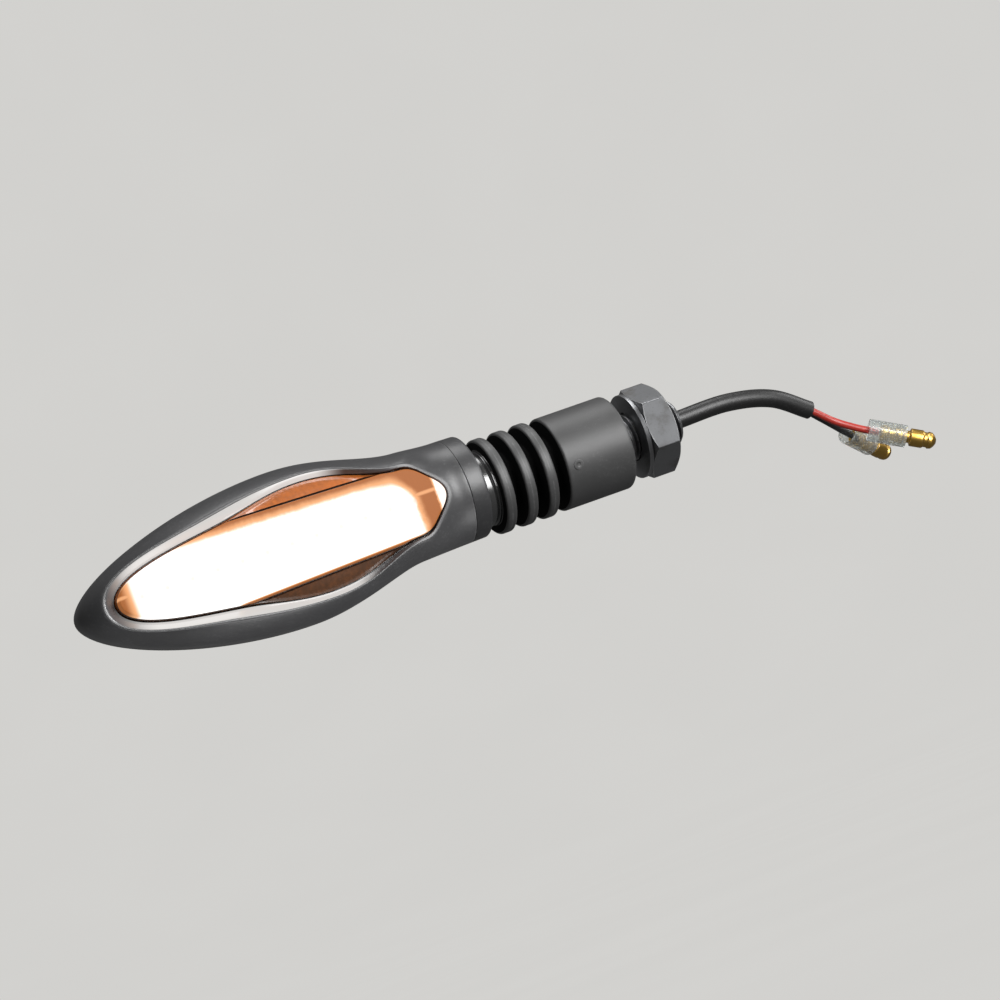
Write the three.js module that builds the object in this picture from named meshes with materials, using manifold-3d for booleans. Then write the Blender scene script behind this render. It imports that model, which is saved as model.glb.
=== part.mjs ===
// Motorcycle turn signal indicator: a leaf-shaped LED head on a ribbed rubber stalk, with a hollow
// threaded stud, washer, nut and cable.
//
// Millimetres. +X runs along the stalk towards the stud, -Y is the way the lens faces and +Z is up.
// The origin is a point on the barrel's end face, which bears on the vehicle's bracket. It lies straight
// above the stalk's axis, in the middle of the face's bearing ring. The stalk and the head are modelled
// about the stalk's axis, and the whole part is lowered at the end.
//
// The head is modelled in its own group, turned half a turn about Z. Inside that group +X runs from the
// neck to the tip, +Y is the depth towards the viewer, and the parting plane of the housing is Y = 0.

import * as THREE from 'three';
import { mergeVertices } from 'three/addons/utils/BufferGeometryUtils.js';
import Module from 'manifold-3d';

const wasm = await Module();
wasm.setup();

// ---------------------------------------------------------------- driving dimensions

const BARREL_RADIUS = 10;
const BARREL_LENGTH = 15.4;
const RIB_RADIUS = 10.15;
const RIB_WIDTH = 2.3;
const GROOVE_WIDTH = 2.6;
const NECK_GROOVE_WIDTH = 1.6;
const CORE_RADIUS = 6;
const CORE_GAP = 1.7;
const STALK_BORE_RADIUS = 2.75;
const NECK_RADIUS = 8;
const NECK_RING_WIDTH = 1.6;

const STUD_RADIUS = 5;
const THREAD_PITCH = 1.25;
const THREAD_DEPTH = 0.6134 * THREAD_PITCH;
const THREAD_FACETS = 14;
const STUD_END = 14;
const STUD_BORE_RADIUS = 2.2;
const ANCHOR = { radius: 7.2, from: -12, to: -9 };
const ORIGIN_ABOVE_AXIS = 7.5;

const BRACKET_THICKNESS = 3.6;
const WASHER = { radius: 9, bore: 5.2, thickness: 1 };
const NUT = { acrossFlats: 17, thickness: 6.6, clearance: 0.15 };

const CABLE_RADIUS = 1.9;
const WIRE_RADIUS = 0.75;

const HEAD_RISE = 1.3;
const HEAD_LENGTH = 88;
const COLLAR_RADIUS = 10.85;
const COLLAR_WIDTH = 3.8;
const HOUSING_START = 3.9;
const HOUSING_RADIUS = 10.95;
const WIDEST_AT = 41;
const WIDEST_HALF_HEIGHT = 16;
const WALL = 1.8;

const RIM_DEPTH = 10.6;
const BAR_DEPTH = 11.9;
const BAR_START = { along: 14, halfHeight: 7.2 };
const BAR_TAPER = 0.031;
const BEVEL_DROP = 1.1;
const LEDGE_DEPTH = 7.6;
const LEDGE_WIDTH = 1.7;
const CAVITY_DEPTH = 6.2;
const LENS_UNDERSIDE = LEDGE_DEPTH + 0.65;
const LENS_FLANGE_DEPTH = 9.3;

const LED_COUNT = 12;
const LED_PITCH = 5.45;
const FIRST_LED_AT = 16.3;
const LED_SIZE = { length: 2.8, depth: 0.8, height: 3.5 };
const BOARD = { back: 3.2, thickness: 1.2, halfHeight: 7.7 };
const BOARD_FRONT = BOARD.back + BOARD.thickness;
const SEAT_GAP = 0.05;

const REFLECTOR_HEIGHT = 6.2;
const CHIP = { length: 5, depth: 1.5, height: 4, along: 34, up: 0 };
const DIODE = { length: 4.3, depth: 2.1, height: 2.6, along: 21, up: -3 };
const CAPACITOR = { length: 3.5, depth: 1.9, height: 2.8, along: 43, up: -3 };
const RESISTOR = { length: 3.2, depth: 0.6, height: 1.6, up: 3.6 };
const RESISTOR_PLACES = [30, 42, 50];

const SCREW = { radius: 1, headRadius: 2, headHeight: 1.1, length: 15.2, seat: -8.2 };
const SCREW_PLACES = [{ along: 24, up: 4.9 }, { along: 53, up: -4.9 }];
const BOSS_RADIUS = 1.7;
const STAND_RADIUS = 2.4;
const BEYOND_THE_HULL = 14;

// Places along the stalk, worked out from the widths above.
const groove4 = -BARREL_LENGTH - GROOVE_WIDTH;
const rib3 = groove4 - RIB_WIDTH;
const groove3 = rib3 - GROOVE_WIDTH;
const rib2 = groove3 - RIB_WIDTH;
const groove2 = rib2 - GROOVE_WIDTH;
const rib1 = groove2 - RIB_WIDTH;
const neckRing = rib1 - NECK_GROOVE_WIDTH;
const headStart = neckRing - NECK_RING_WIDTH;

// ---------------------------------------------------------------- materials

function finish(color, roughness, metalness = 0) {
  return new THREE.MeshStandardMaterial({ color, roughness, metalness, flatShading: true });
}

const RUBBER = () => finish(0x3b3b3b, 0.75);
const HOUSING = () => finish(0x3f3f40, 0.45);
const STEEL = () => finish(0x9b9c9e, 0.32, 0.95);
const DARK_STEEL = () => finish(0x77787a, 0.4, 0.9);
const BRASS = () => finish(0xb08d45, 0.35, 0.9);
const CABLE = () => finish(0x161616, 0.55);
const AMBER = () => finish(0xd86f1c, 0.18);
const WHITE_PLASTIC = () => finish(0xe8e6e0, 0.6);
const BOARD_GREEN = () => finish(0x1d4a2c, 0.5);
const CHIP_BLACK = () => finish(0x151517, 0.5);
const LED_BODY = () => finish(0xf0d9a0, 0.4);
const SEALING = () => finish(0x202020, 0.85);
const RED_WIRE = () => finish(0xa03026, 0.5);
const CLEAR_SLEEVE = () => finish(0xbfc4c6, 0.3);

// ---------------------------------------------------------------- solids: joining and cutting

function toSolid(geometry) {
  const bare = new THREE.BufferGeometry();
  bare.setAttribute('position', geometry.getAttribute('position'));
  if (geometry.index) bare.setIndex(geometry.index);
  const merged = mergeVertices(bare, 1e-4);
  return new wasm.Manifold(new wasm.Mesh({
    numProp: 3,
    vertProperties: new Float32Array(merged.getAttribute('position').array),
    triVerts: new Uint32Array(merged.index.array),
  }));
}

function toGeometry(solid) {
  const mesh = solid.getMesh();
  const geometry = new THREE.BufferGeometry();
  geometry.setAttribute('position', new THREE.BufferAttribute(new Float32Array(mesh.vertProperties), 3));
  geometry.setIndex(new THREE.BufferAttribute(new Uint32Array(mesh.triVerts), 1));
  geometry.computeVertexNormals();
  return geometry;
}

function cut(body, ...tools) {
  return tools.reduce((rest, tool) => rest.subtract(tool), body);
}

// Closed loft through rings of equally many points, stacked along Y. Both end rings are filled.
function loft(rings) {
  const count = rings[0].length;
  const positions = rings.flat().flatMap((p) => [p.x, p.y, p.z]);
  const index = [];
  for (let r = 0; r + 1 < rings.length; r++) {
    for (let i = 0; i < count; i++) {
      const next = (i + 1) % count;
      const [a, b, c, d] = [r * count + i, r * count + next, (r + 1) * count + next, (r + 1) * count + i];
      index.push(a, b, c, a, c, d);
    }
  }
  const inPlan = (p) => v2(p.z, p.x);
  const cap = (ring, start, flip) => {
    for (const [a, b, c] of THREE.ShapeUtils.triangulateShape(ring.map(inPlan), [])) {
      index.push(start + a, start + (flip ? c : b), start + (flip ? b : c));
    }
  };
  const clockwise = THREE.ShapeUtils.area(rings[0].map(inPlan)) < 0;
  cap(rings[0], 0, !clockwise);
  cap(rings.at(-1), (rings.length - 1) * count, clockwise);
  const geometry = new THREE.BufferGeometry();
  geometry.setAttribute('position', new THREE.Float32BufferAttribute(positions, 3));
  geometry.setIndex(index);
  return facingOut(geometry);
}

// Turns every face over when the mesh encloses a negative volume.
function facingOut(geometry) {
  const p = geometry.getAttribute('position');
  const index = geometry.index.array;
  const [a, b, c] = [new THREE.Vector3(), new THREE.Vector3(), new THREE.Vector3()];
  let volume = 0;
  for (let i = 0; i < index.length; i += 3) {
    a.fromBufferAttribute(p, index[i]);
    b.fromBufferAttribute(p, index[i + 1]);
    c.fromBufferAttribute(p, index[i + 2]);
    volume += a.dot(b.cross(c));
  }
  if (volume < 0) {
    for (let i = 0; i < index.length; i += 3) [index[i], index[i + 1]] = [index[i + 1], index[i]];
  }
  geometry.computeVertexNormals();
  return geometry;
}

// ---------------------------------------------------------------- shapes turned about the stalk

function v2(x, y) {
  return new THREE.Vector2(x, y);
}

// Solid of revolution about X from [x, radius] pairs. A profile that leaves the axis is a closed ring.
function turned(profile, segments = 32) {
  const onAxis = profile[0][1] === 0 && profile.at(-1)[1] === 0;
  const corners = onAxis ? profile : [...profile, profile[0]];
  const forwards = corners.at(-1)[0] >= corners[0][0];
  const ordered = onAxis && !forwards ? [...corners].reverse() : corners;
  const lathe = new THREE.LatheGeometry(ordered.map(([x, r]) => v2(r, x)), segments);
  lathe.rotateZ(-Math.PI / 2);
  lathe.deleteAttribute('uv');
  lathe.deleteAttribute('normal');
  return facingOut(mergeVertices(lathe, 1e-4));
}

// Rod that carries the thread's helix over its whole length, with stepped ends to be trimmed off.
function threadedRod(radius, from, to) {
  const rootRadius = radius - THREAD_DEPTH;
  const pitchRows = [
    { at: 0, radius },
    { at: 1 / 8, radius },
    { at: 7 / 16, radius: rootRadius },
    { at: 11 / 16, radius: rootRadius },
  ];
  const rowsPerPitch = pitchRows.length;
  const turns = Math.ceil((to - from) / THREAD_PITCH) + 2;
  const firstTurn = Math.floor(from / THREAD_PITCH) - 1;
  const rows = turns * rowsPerPitch;
  const positions = [];
  for (let i = 0; i < THREAD_FACETS; i++) {
    const angle = (2 * Math.PI * i) / THREAD_FACETS;
    for (let k = 0; k <= rows; k++) {
      const row = pitchRows[k % rowsPerPitch];
      const turn = firstTurn + Math.floor(k / rowsPerPitch) + row.at + i / THREAD_FACETS;
      positions.push(turn * THREAD_PITCH, row.radius * Math.cos(angle), row.radius * Math.sin(angle));
    }
  }
  const vertex = (i, k) => i * (rows + 1) + k;
  const index = [];
  for (let i = 0; i < THREAD_FACETS; i++) {
    const wraps = i === THREAD_FACETS - 1;
    const shift = wraps ? rowsPerPitch : 0;
    const next = wraps ? 0 : i + 1;
    for (let k = 0; k + 1 + shift <= rows; k++) {
      const [a, b] = [vertex(i, k), vertex(i, k + 1)];
      const [c, d] = [vertex(next, k + 1 + shift), vertex(next, k + shift)];
      index.push(a, b, c, a, c, d);
    }
  }
  const last = THREAD_FACETS - 1;
  const columns = Array.from({ length: THREAD_FACETS }, (_, i) => i);
  const stepRows = Array.from({ length: rowsPerPitch }, (_, k) => k);
  const startLoop = [
    ...columns.map((i) => vertex(i, 0)),
    ...stepRows.map((k) => vertex(0, rowsPerPitch - k)),
  ];
  const endLoop = [
    ...columns.map((i) => vertex(i, rows)),
    ...stepRows.map((k) => vertex(last, rows - 1 - k)),
  ];
  const centres = [[positions[0], startLoop, false], [positions[3 * rows], endLoop, true]];
  for (const [x, loop, flip] of centres) {
    const centre = positions.length / 3;
    positions.push(x, 0, 0);
    loop.forEach((a, n) => {
      const b = loop[(n + 1) % loop.length];
      index.push(centre, flip ? b : a, flip ? a : b);
    });
  }
  const geometry = new THREE.BufferGeometry();
  geometry.setAttribute('position', new THREE.Float32BufferAttribute(positions, 3));
  geometry.setIndex(index);
  return toSolid(facingOut(geometry));
}

// ---------------------------------------------------------------- rubber stalk

// Rib profile between two faces, with rounded edges and stubs of the core on the sides that have them.
function ribProfile(from, to, radius, stubFrom, stubTo) {
  const edge = 0.5;
  return [
    [stubFrom, STALK_BORE_RADIUS],
    [stubTo, STALK_BORE_RADIUS],
    [stubTo, CORE_RADIUS],
    [to, CORE_RADIUS],
    [to, radius - edge],
    [to - edge, radius],
    [from + edge, radius],
    [from, radius - edge],
    [from, CORE_RADIUS],
    [stubFrom, CORE_RADIUS],
  ];
}

const STUB = (GROOVE_WIDTH - CORE_GAP) / 2;

function rubberBarrel() {
  const slack = 0.1;
  const edge = 0.4;
  const innerEnd = -BARREL_LENGTH;
  return turned([
    [innerEnd - STUB, STALK_BORE_RADIUS],
    [ANCHOR.from - slack, STALK_BORE_RADIUS],
    [ANCHOR.from - slack, ANCHOR.radius + slack],
    [ANCHOR.to + slack, ANCHOR.radius + slack],
    [ANCHOR.to + slack, STUD_RADIUS + slack],
    [0, STUD_RADIUS + slack],
    [0, BARREL_RADIUS - edge],
    [-edge, BARREL_RADIUS],
    [innerEnd + edge, BARREL_RADIUS],
    [innerEnd, BARREL_RADIUS - edge],
    [innerEnd, CORE_RADIUS],
    [innerEnd - STUB, CORE_RADIUS],
  ], 28);
}

function flexRib(from, to, stubToHead) {
  return turned(ribProfile(from, to, RIB_RADIUS, from - stubToHead, to + STUB), 28);
}

// Neck: the glossy ring, the waist that the collar's lip grips, and the bead behind the lip.
function rubberNeck() {
  const waistRadius = 6.2;
  const beadRadius = 7.1;
  const waistFrom = headStart - 1.6;
  const waistTo = headStart - 3.6;
  const beadEnd = headStart - 5;
  return turned([
    [beadEnd, STALK_BORE_RADIUS],
    [neckRing, STALK_BORE_RADIUS],
    [neckRing, NECK_RADIUS - 0.4],
    [neckRing - 0.4, NECK_RADIUS],
    [waistFrom, NECK_RADIUS],
    [waistFrom, waistRadius],
    [waistTo, waistRadius],
    [waistTo, beadRadius],
    [beadEnd + 0.5, beadRadius],
    [beadEnd, beadRadius - 0.5],
  ], 28);
}

// ---------------------------------------------------------------- stud, washer and nut

function threadedStud() {
  const chamfer = 0.8;
  const blank = toSolid(turned([
    [ANCHOR.from, 0],
    [ANCHOR.from, ANCHOR.radius],
    [ANCHOR.to, ANCHOR.radius],
    [ANCHOR.to, STUD_RADIUS],
    [STUD_END - chamfer, STUD_RADIUS],
    [STUD_END, STUD_RADIUS - chamfer],
    [STUD_END, 0],
  ], 28));
  const threadStart = 0.6;
  const sleeve = toSolid(turned([
    [threadStart, STUD_RADIUS - THREAD_DEPTH - 1],
    [threadStart, STUD_RADIUS + 1],
    [STUD_END + 1, STUD_RADIUS + 1],
    [STUD_END + 1, STUD_RADIUS - THREAD_DEPTH - 1],
  ], 28));
  const rod = threadedRod(STUD_RADIUS, threadStart - THREAD_PITCH, STUD_END + THREAD_PITCH);
  const valleys = sleeve.subtract(rod);
  const bore = toSolid(turned([
    [ANCHOR.from - 1, 0],
    [ANCHOR.from - 1, STUD_BORE_RADIUS],
    [STUD_END + 1, STUD_BORE_RADIUS],
    [STUD_END + 1, 0],
  ], 16));
  return toGeometry(cut(blank, valleys, bore));
}

function flatWasher() {
  const edge = 0.15;
  const from = BRACKET_THICKNESS;
  const to = from + WASHER.thickness;
  return turned([
    [from, WASHER.bore],
    [from, WASHER.radius - edge],
    [from + edge, WASHER.radius],
    [to - edge, WASHER.radius],
    [to, WASHER.radius - edge],
    [to, WASHER.bore],
  ], 28);
}

function hexNut() {
  const from = BRACKET_THICKNESS + WASHER.thickness;
  const to = from + NUT.thickness;
  const cornerRadius = NUT.acrossFlats / Math.sqrt(3);
  const hexagon = new THREE.Shape(Array.from({ length: 6 }, (_, i) => {
    const angle = (Math.PI * i) / 3;
    return v2(cornerRadius * Math.cos(angle), cornerRadius * Math.sin(angle));
  }));
  const prism = new THREE.ExtrudeGeometry(hexagon, { depth: NUT.thickness, bevelEnabled: false });
  prism.rotateY(Math.PI / 2);
  prism.translate(from, 0, 0);
  // Both ends are chamfered at 30 degrees to a circle just inside the flats.
  const faceRadius = NUT.acrossFlats / 2 - 0.3;
  const slope = (cornerRadius + 0.5 - faceRadius) * Math.tan(Math.PI / 6);
  const turnedBlank = turned([
    [from, 0],
    [from, faceRadius],
    [from + slope, cornerRadius + 0.5],
    [to - slope, cornerRadius + 0.5],
    [to, faceRadius],
    [to, 0],
  ], 48);
  const countersink = 0.7;
  const mouthRadius = STUD_RADIUS + NUT.clearance + 0.3;
  const mouths = toSolid(turned([
    [from - 1, 0],
    [from - 1, mouthRadius + 1],
    [from + countersink, mouthRadius - countersink],
    [to - countersink, mouthRadius - countersink],
    [to + 1, mouthRadius + 1],
    [to + 1, 0],
  ], 28));
  const helix = threadedRod(STUD_RADIUS + NUT.clearance, from - THREAD_PITCH, to + THREAD_PITCH);
  return toGeometry(cut(toSolid(prism).intersect(toSolid(turnedBlank)), helix, mouths));
}

// ---------------------------------------------------------------- cable and connectors

function roundSection(radius, sides) {
  return new THREE.Shape(Array.from({ length: sides }, (_, i) => {
    const angle = (2 * Math.PI * i) / sides;
    return v2(radius * Math.cos(angle), radius * Math.sin(angle));
  }));
}

function wireAlong(points, radius, steps, sides = 10) {
  const extrudePath = new THREE.CatmullRomCurve3(points.map((p) => new THREE.Vector3(...p)), false, 'centripetal');
  return new THREE.ExtrudeGeometry(roundSection(radius, sides), { steps, extrudePath });
}

const SHEATH_PATH = [[-14.6, 0, 0], [0, 0, 0], [14, 0, 0], [27, 0, 0], [37, 1, -2.2], [45, 3, -7]];
const CORE_END = headStart - 2.7;

function cableFlex() {
  return turned([
    [CORE_END, 0],
    [CORE_END, CABLE_RADIUS],
    [SHEATH_PATH[0][0] - 0.3, CABLE_RADIUS],
    [SHEATH_PATH[0][0] - 0.3, 0],
  ], 12);
}

// Each wire starts at the sheath's cut end and runs to the back of its bullet terminal.
const WIRES = {
  positive: [[45.4, 2.3, -7.6], [49.5, 2.6, -11.2], [54, 1.4, -14.6], [57, 0.6, -16.4]],
  negative: [[45.5, 4.1, -7.5], [49.5, 6.2, -10.6], [53.5, 9.4, -13.2], [56, 11.2, -14.8]],
};

// Crimp barrel, neck and rounded bullet, pointing along +X from 0.
function bulletTerminal() {
  return turned([
    [0, 0],
    [0, 1.5],
    [0.4, 1.7],
    [4.6, 1.7],
    [5, 1.3],
    [6.2, 1.3],
    [6.5, 1.95],
    [9, 1.95],
    [9.4, 1.65],
    [10, 1.65],
    [10.4, 1.9],
    [11.4, 1.5],
    [11.9, 0.8],
    [12, 0],
  ], 10);
}

function terminalSleeve() {
  const bore = 2.05;
  const outer = 2.45;
  return turned([[-2.6, bore], [-2.6, outer], [5.6, outer], [5.6, bore]], 12);
}

// ---------------------------------------------------------------- plan outlines of the head

const HALF_STEPS = { end: 5, corner: 3, swell: 5, shoulder: 4, tip: 7 };

// Points of cubic stretches that share their end knots, as [along, up] pairs.
function stretches(knots, steps) {
  return steps.flatMap((count, n) => {
    const curve = new THREE.CubicBezierCurve(...knots.slice(3 * n, 3 * n + 4).map(([x, y]) => v2(x, y)));
    return curve.getPoints(count).slice(n ? 1 : 0);
  });
}

// Closed loop from its upper half, which runs from the neck end's middle to the tip.
function mirrored(half) {
  const below = half.slice(1, -1).reverse().map((p) => v2(p.x, -p.y));
  return [...half, ...below];
}

// Outer edge of the housing at the parting plane.
function outlineLoop() {
  const neckEnd = Array.from({ length: HALF_STEPS.end }, (_, i) => (
    v2(HOUSING_START, HOUSING_RADIUS * Math.sin((Math.PI / 2) * (i / HALF_STEPS.end)))
  ));
  const side = stretches([
    [HOUSING_START, HOUSING_RADIUS], [8, 11.05], [11.5, 11.2],
    [15, 11.35], [22, 11.85], [30, WIDEST_HALF_HEIGHT],
    [WIDEST_AT, WIDEST_HALF_HEIGHT], [63, WIDEST_HALF_HEIGHT], [HEAD_LENGTH, 7], [HEAD_LENGTH, 0],
  ], [HALF_STEPS.corner, HALF_STEPS.swell, HALF_STEPS.shoulder + HALF_STEPS.tip]);
  return mirrored([...neckEnd, ...side]);
}

const RIM_STEPS = [HALF_STEPS.end, HALF_STEPS.corner, HALF_STEPS.swell, HALF_STEPS.shoulder, HALF_STEPS.tip];

// Ridge of the raised rim, which runs round the arrow end and the leaf.
const crestLoop = () => mirrored(stretches([
  [7.9, 0], [7.9, 1.6], [8.6, 2.9],
  [10.2, 4.4], [12.8, 6.85], [13.7, 8.25],
  [17.2, 8.3], [23.5, 8.6], [28, 13],
  [38, 13], [46, 13], [52, 12],
  [58, 10.9], [68, 9], [84, 7.6], [84, 0],
], RIM_STEPS));

// Edge of the opening that the lens fills.
const openingLoop = () => mirrored(stretches([
  [8.6, 0], [8.6, 1.3], [9.3, 2.4],
  [10.8, 3.8], [13.4, 6.2], [14.2, 7.45],
  [17.2, 7.5], [23.5, 7.8], [28, 11.6],
  [38, 11.6], [45, 11.6], [50, 9.8],
  [56, 8.9], [66, 7.4], [81.5, 6.2], [81.5, 0],
], RIM_STEPS));

// Loop moved inwards by a distance, square to its edges.
function inset(loop, distance) {
  return loop.map((p, i) => {
    const before = loop.at(i - 1);
    const after = loop[(i + 1) % loop.length];
    const along = after.clone().sub(before).normalize();
    const corner = p.clone().sub(before).normalize();
    const spread = Math.max(along.dot(corner), 0.7);
    return v2(p.x + (along.y * distance) / spread, p.y - (along.x * distance) / spread);
  });
}

// Loop with its top and bottom held inside a half height that depends on the place along the head.
function flattened(loop, halfHeightAt) {
  return loop.map((p) => {
    const limit = halfHeightAt(p.x);
    return v2(p.x, THREE.MathUtils.clamp(p.y, -limit, limit));
  });
}

// The lens's raised bar opens slightly from the arrow end to the tip.
const barHalfHeight = (along) => BAR_START.halfHeight + BAR_TAPER * (along - BAR_START.along);

// Loop drawn in towards the widest section, by one share along and another across. Its neck end moves
// out instead, so that the hollow opens through the housing's end face.
function shrunk(loop, along, across) {
  return loop.map((p) => {
    const beyond = Math.max(p.x - WIDEST_AT, 0);
    const atEnd = p.x <= HOUSING_START + 1e-6;
    return v2(atEnd ? p.x - 1 : p.x - beyond * (1 - along), p.y * across);
  });
}

function at(loop, depth) {
  return loop.map((p) => new THREE.Vector3(p.x, typeof depth === 'function' ? depth(p) : depth, p.y));
}

const prism = (loop, from, to) => toSolid(loft([at(loop, from), at(loop, to)]));

// Plate of one thickness from a loop, with hole loops through it.
function plate(loop, holes, from, to) {
  return toGeometry(cut(prism(loop, from, to), ...holes.map((hole) => prism(hole, from - 1, to + 1))));
}

// Round post or hole along the depth.
function post(along, up, radius, from, to, segments = 16) {
  const cylinder = new THREE.CylinderGeometry(radius, radius, to - from, segments);
  cylinder.translate(along, (from + to) / 2, up);
  return toSolid(cylinder);
}

// ---------------------------------------------------------------- head surfaces

// How far the front has dropped back from the rim's level, near the tip.
const tipDrop = (along) => 1.5 * Math.max((along - 60) / (HEAD_LENGTH - 60), 0) ** 2;

// The front is round like the neck at its start and takes the rim's own level further on.
function frontDepth(level) {
  return (p) => {
    const round = Math.sqrt(Math.max(HOUSING_RADIUS ** 2 - p.y ** 2, 0));
    const share = THREE.MathUtils.smoothstep(p.x, HOUSING_START, 15);
    return THREE.MathUtils.lerp(round, level - tipDrop(p.x), share);
  };
}

const between = (a, b, share) => a.map((p, i) => p.clone().lerp(b[i], share));

function frontBlock() {
  const outline = outlineLoop();
  const crest = crestLoop();
  const bevel = (p) => BEVEL_DROP * THREE.MathUtils.smoothstep(p.x, 15, 30);
  const bevelFoot = inset(openingLoop(), 0.4);
  return toSolid(loft([
    at(outline, 0),
    at(between(outline, crest, 0.04), frontDepth(4.6)),
    at(between(outline, crest, 0.35), frontDepth(7.4)),
    at(between(outline, crest, 0.75), frontDepth(9.6)),
    at(crest, frontDepth(RIM_DEPTH)),
    at(bevelFoot, (p) => frontDepth(RIM_DEPTH)(p) - bevel(p)),
  ]));
}

// Hollow behind the bezel, stepped in with the depth so that the round neck keeps its wall.
function frontHollow() {
  const outline = outlineLoop();
  return toSolid(loft([
    at(shrunk(outline, 0.96, 0.85), -1),
    at(shrunk(outline, 0.96, 0.85), 0),
    at(shrunk(outline, 0.93, 0.78), 3.5),
    at(shrunk(outline, 0.86, 0.6), CAVITY_DEPTH),
  ]));
}

// Hull behind the parting plane: quarter ellipses that close on the line of the back.
function hullRings(loop, depth) {
  const levels = 5;
  const last = THREE.MathUtils.degToRad(85);
  return Array.from({ length: levels + 1 }, (_, k) => {
    const angle = (last * k) / levels;
    const reach = Math.cos(angle);
    const ring = loop.map((p) => {
      const along = p.x > WIDEST_AT ? WIDEST_AT + (p.x - WIDEST_AT) * reach : p.x;
      return v2(along, p.y * reach);
    });
    return at(ring, -depth * Math.sin(angle));
  });
}

// Counterbore at the neck end of both housing halves, round the neck's bead.
function beadPocket() {
  const pocket = turned([
    [HOUSING_START - 1, 0],
    [HOUSING_START - 1, 7.6],
    [5.6, 7.6],
    [5.6, 0],
  ], 32);
  pocket.translate(0, 0, -HEAD_RISE);
  return toSolid(pocket);
}

function frontBezel() {
  const opening = openingLoop();
  const body = cut(
    frontBlock(),
    frontHollow(),
    prism(opening, LEDGE_DEPTH, 15),
    prism(inset(opening, LEDGE_WIDTH), -2, LEDGE_DEPTH + 1),
    beadPocket(),
  );
  return toGeometry(body);
}

function rearShell() {
  const outline = outlineLoop();
  const outside = toSolid(loft(hullRings(outline, HOUSING_RADIUS)));
  const inner = shrunk(outline, 0.96, 0.85);
  const hollow = toSolid(loft([at(inner, 1), ...hullRings(inner, HOUSING_RADIUS - WALL)]));
  let body = cut(outside, hollow, beadPocket());
  for (const { along, up } of SCREW_PLACES) {
    const inWall = post(along, up, STAND_RADIUS, -BEYOND_THE_HULL, 0).intersect(outside);
    const stand = post(along, up, STAND_RADIUS, -1, BOARD.back - SEAT_GAP);
    body = body.add(inWall).add(stand);
    const bore = post(along, up, SCREW.radius + 0.15, -BEYOND_THE_HULL, BOARD.back + 1);
    body = cut(body, bore, screwRecess(along, up));
  }
  return toGeometry(body);
}

// Countersink and access hole for a screw head that comes from the back.
function screwRecess(along, up) {
  const slack = 0.15;
  const recess = turned([
    [-SCREW.seat - slack, 0],
    [-SCREW.seat - slack, SCREW.radius + slack],
    [-SCREW.seat + SCREW.headHeight, SCREW.headRadius + slack],
    [BEYOND_THE_HULL, SCREW.headRadius + slack],
    [BEYOND_THE_HULL, 0],
  ], 16);
  recess.rotateZ(-Math.PI / 2);
  recess.translate(along, 0, up);
  return toSolid(recess);
}

// Countersunk screw along the depth: its cone starts at 0 and the head faces the back.
function shellScrew() {
  const screw = turned([
    [-SCREW.headHeight, 0],
    [-SCREW.headHeight, SCREW.headRadius],
    [0, SCREW.radius],
    [SCREW.length - 0.6, SCREW.radius],
    [SCREW.length, 0.4],
    [SCREW.length, 0],
  ], 12);
  return screw.rotateZ(Math.PI / 2);
}

function neckCollar() {
  const edge = 0.4;
  const ring = turned([
    [0, 0],
    [0, COLLAR_RADIUS - edge],
    [edge, COLLAR_RADIUS],
    [COLLAR_WIDTH, HOUSING_RADIUS],
    [COLLAR_WIDTH, 0],
  ], 36);
  const mouth = turned([
    [-1, 0],
    [-1, NECK_RADIUS + 0.15],
    [1.75, NECK_RADIUS + 0.15],
    [1.75, 6.4],
    [3.4, 6.4],
    [3.4, 7.5],
    [COLLAR_WIDTH + 1, 7.5],
    [COLLAR_WIDTH + 1, 0],
  ], 28);
  mouth.translate(0, 0, -HEAD_RISE);
  return toGeometry(toSolid(ring).subtract(toSolid(mouth)));
}

// ---------------------------------------------------------------- lens and what it covers

function lensBody() {
  const opening = openingLoop();
  const edge = inset(opening, 0.25);
  const bar = flattened(inset(opening, 0.6), barHalfHeight);
  const barTop = flattened(inset(opening, 0.95), (along) => barHalfHeight(along) - 0.35);
  const level = (depth) => (p) => depth - tipDrop(p.x);
  let body = toSolid(loft([
    at(edge, LENS_UNDERSIDE),
    at(edge, level(LENS_FLANGE_DEPTH)),
    at(bar, level(BAR_DEPTH - 1)),
    at(bar, level(BAR_DEPTH - 0.3)),
    at(barTop, level(BAR_DEPTH)),
  ]));
  for (const { along, up } of SCREW_PLACES) {
    body = body.add(post(along, up, BOSS_RADIUS, BOARD_FRONT + SEAT_GAP, LENS_UNDERSIDE + 0.5));
    body = body.subtract(post(along, up, SCREW.radius + 0.1, BOARD_FRONT - 1, LENS_UNDERSIDE - 0.3));
  }
  return toGeometry(body);
}

function lensGasket() {
  const opening = openingLoop();
  return plate(inset(opening, 0.2), [inset(opening, 1.45)], LEDGE_DEPTH + SEAT_GAP, LEDGE_DEPTH + 0.6);
}

function circleLoop(along, up, radius, sides) {
  return Array.from({ length: sides }, (_, i) => {
    const angle = (2 * Math.PI * i) / sides;
    return v2(along + radius * Math.cos(angle), up + radius * Math.sin(angle));
  });
}

function ledBoard() {
  const outline = flattened(inset(openingLoop(), 2.1), () => BOARD.halfHeight);
  const holes = SCREW_PLACES.map(({ along, up }) => circleLoop(along, up, 1.3, 14));
  return plate(outline, holes, BOARD.back, BOARD_FRONT);
}

function rectangleLoop(along, up, length, height) {
  const [a, b] = [length / 2, height / 2];
  return [v2(along - a, up - b), v2(along + a, up - b), v2(along + a, up + b), v2(along - a, up + b)];
}

const ledPlaces = Array.from({ length: LED_COUNT }, (_, i) => FIRST_LED_AT + LED_PITCH * i);

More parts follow.
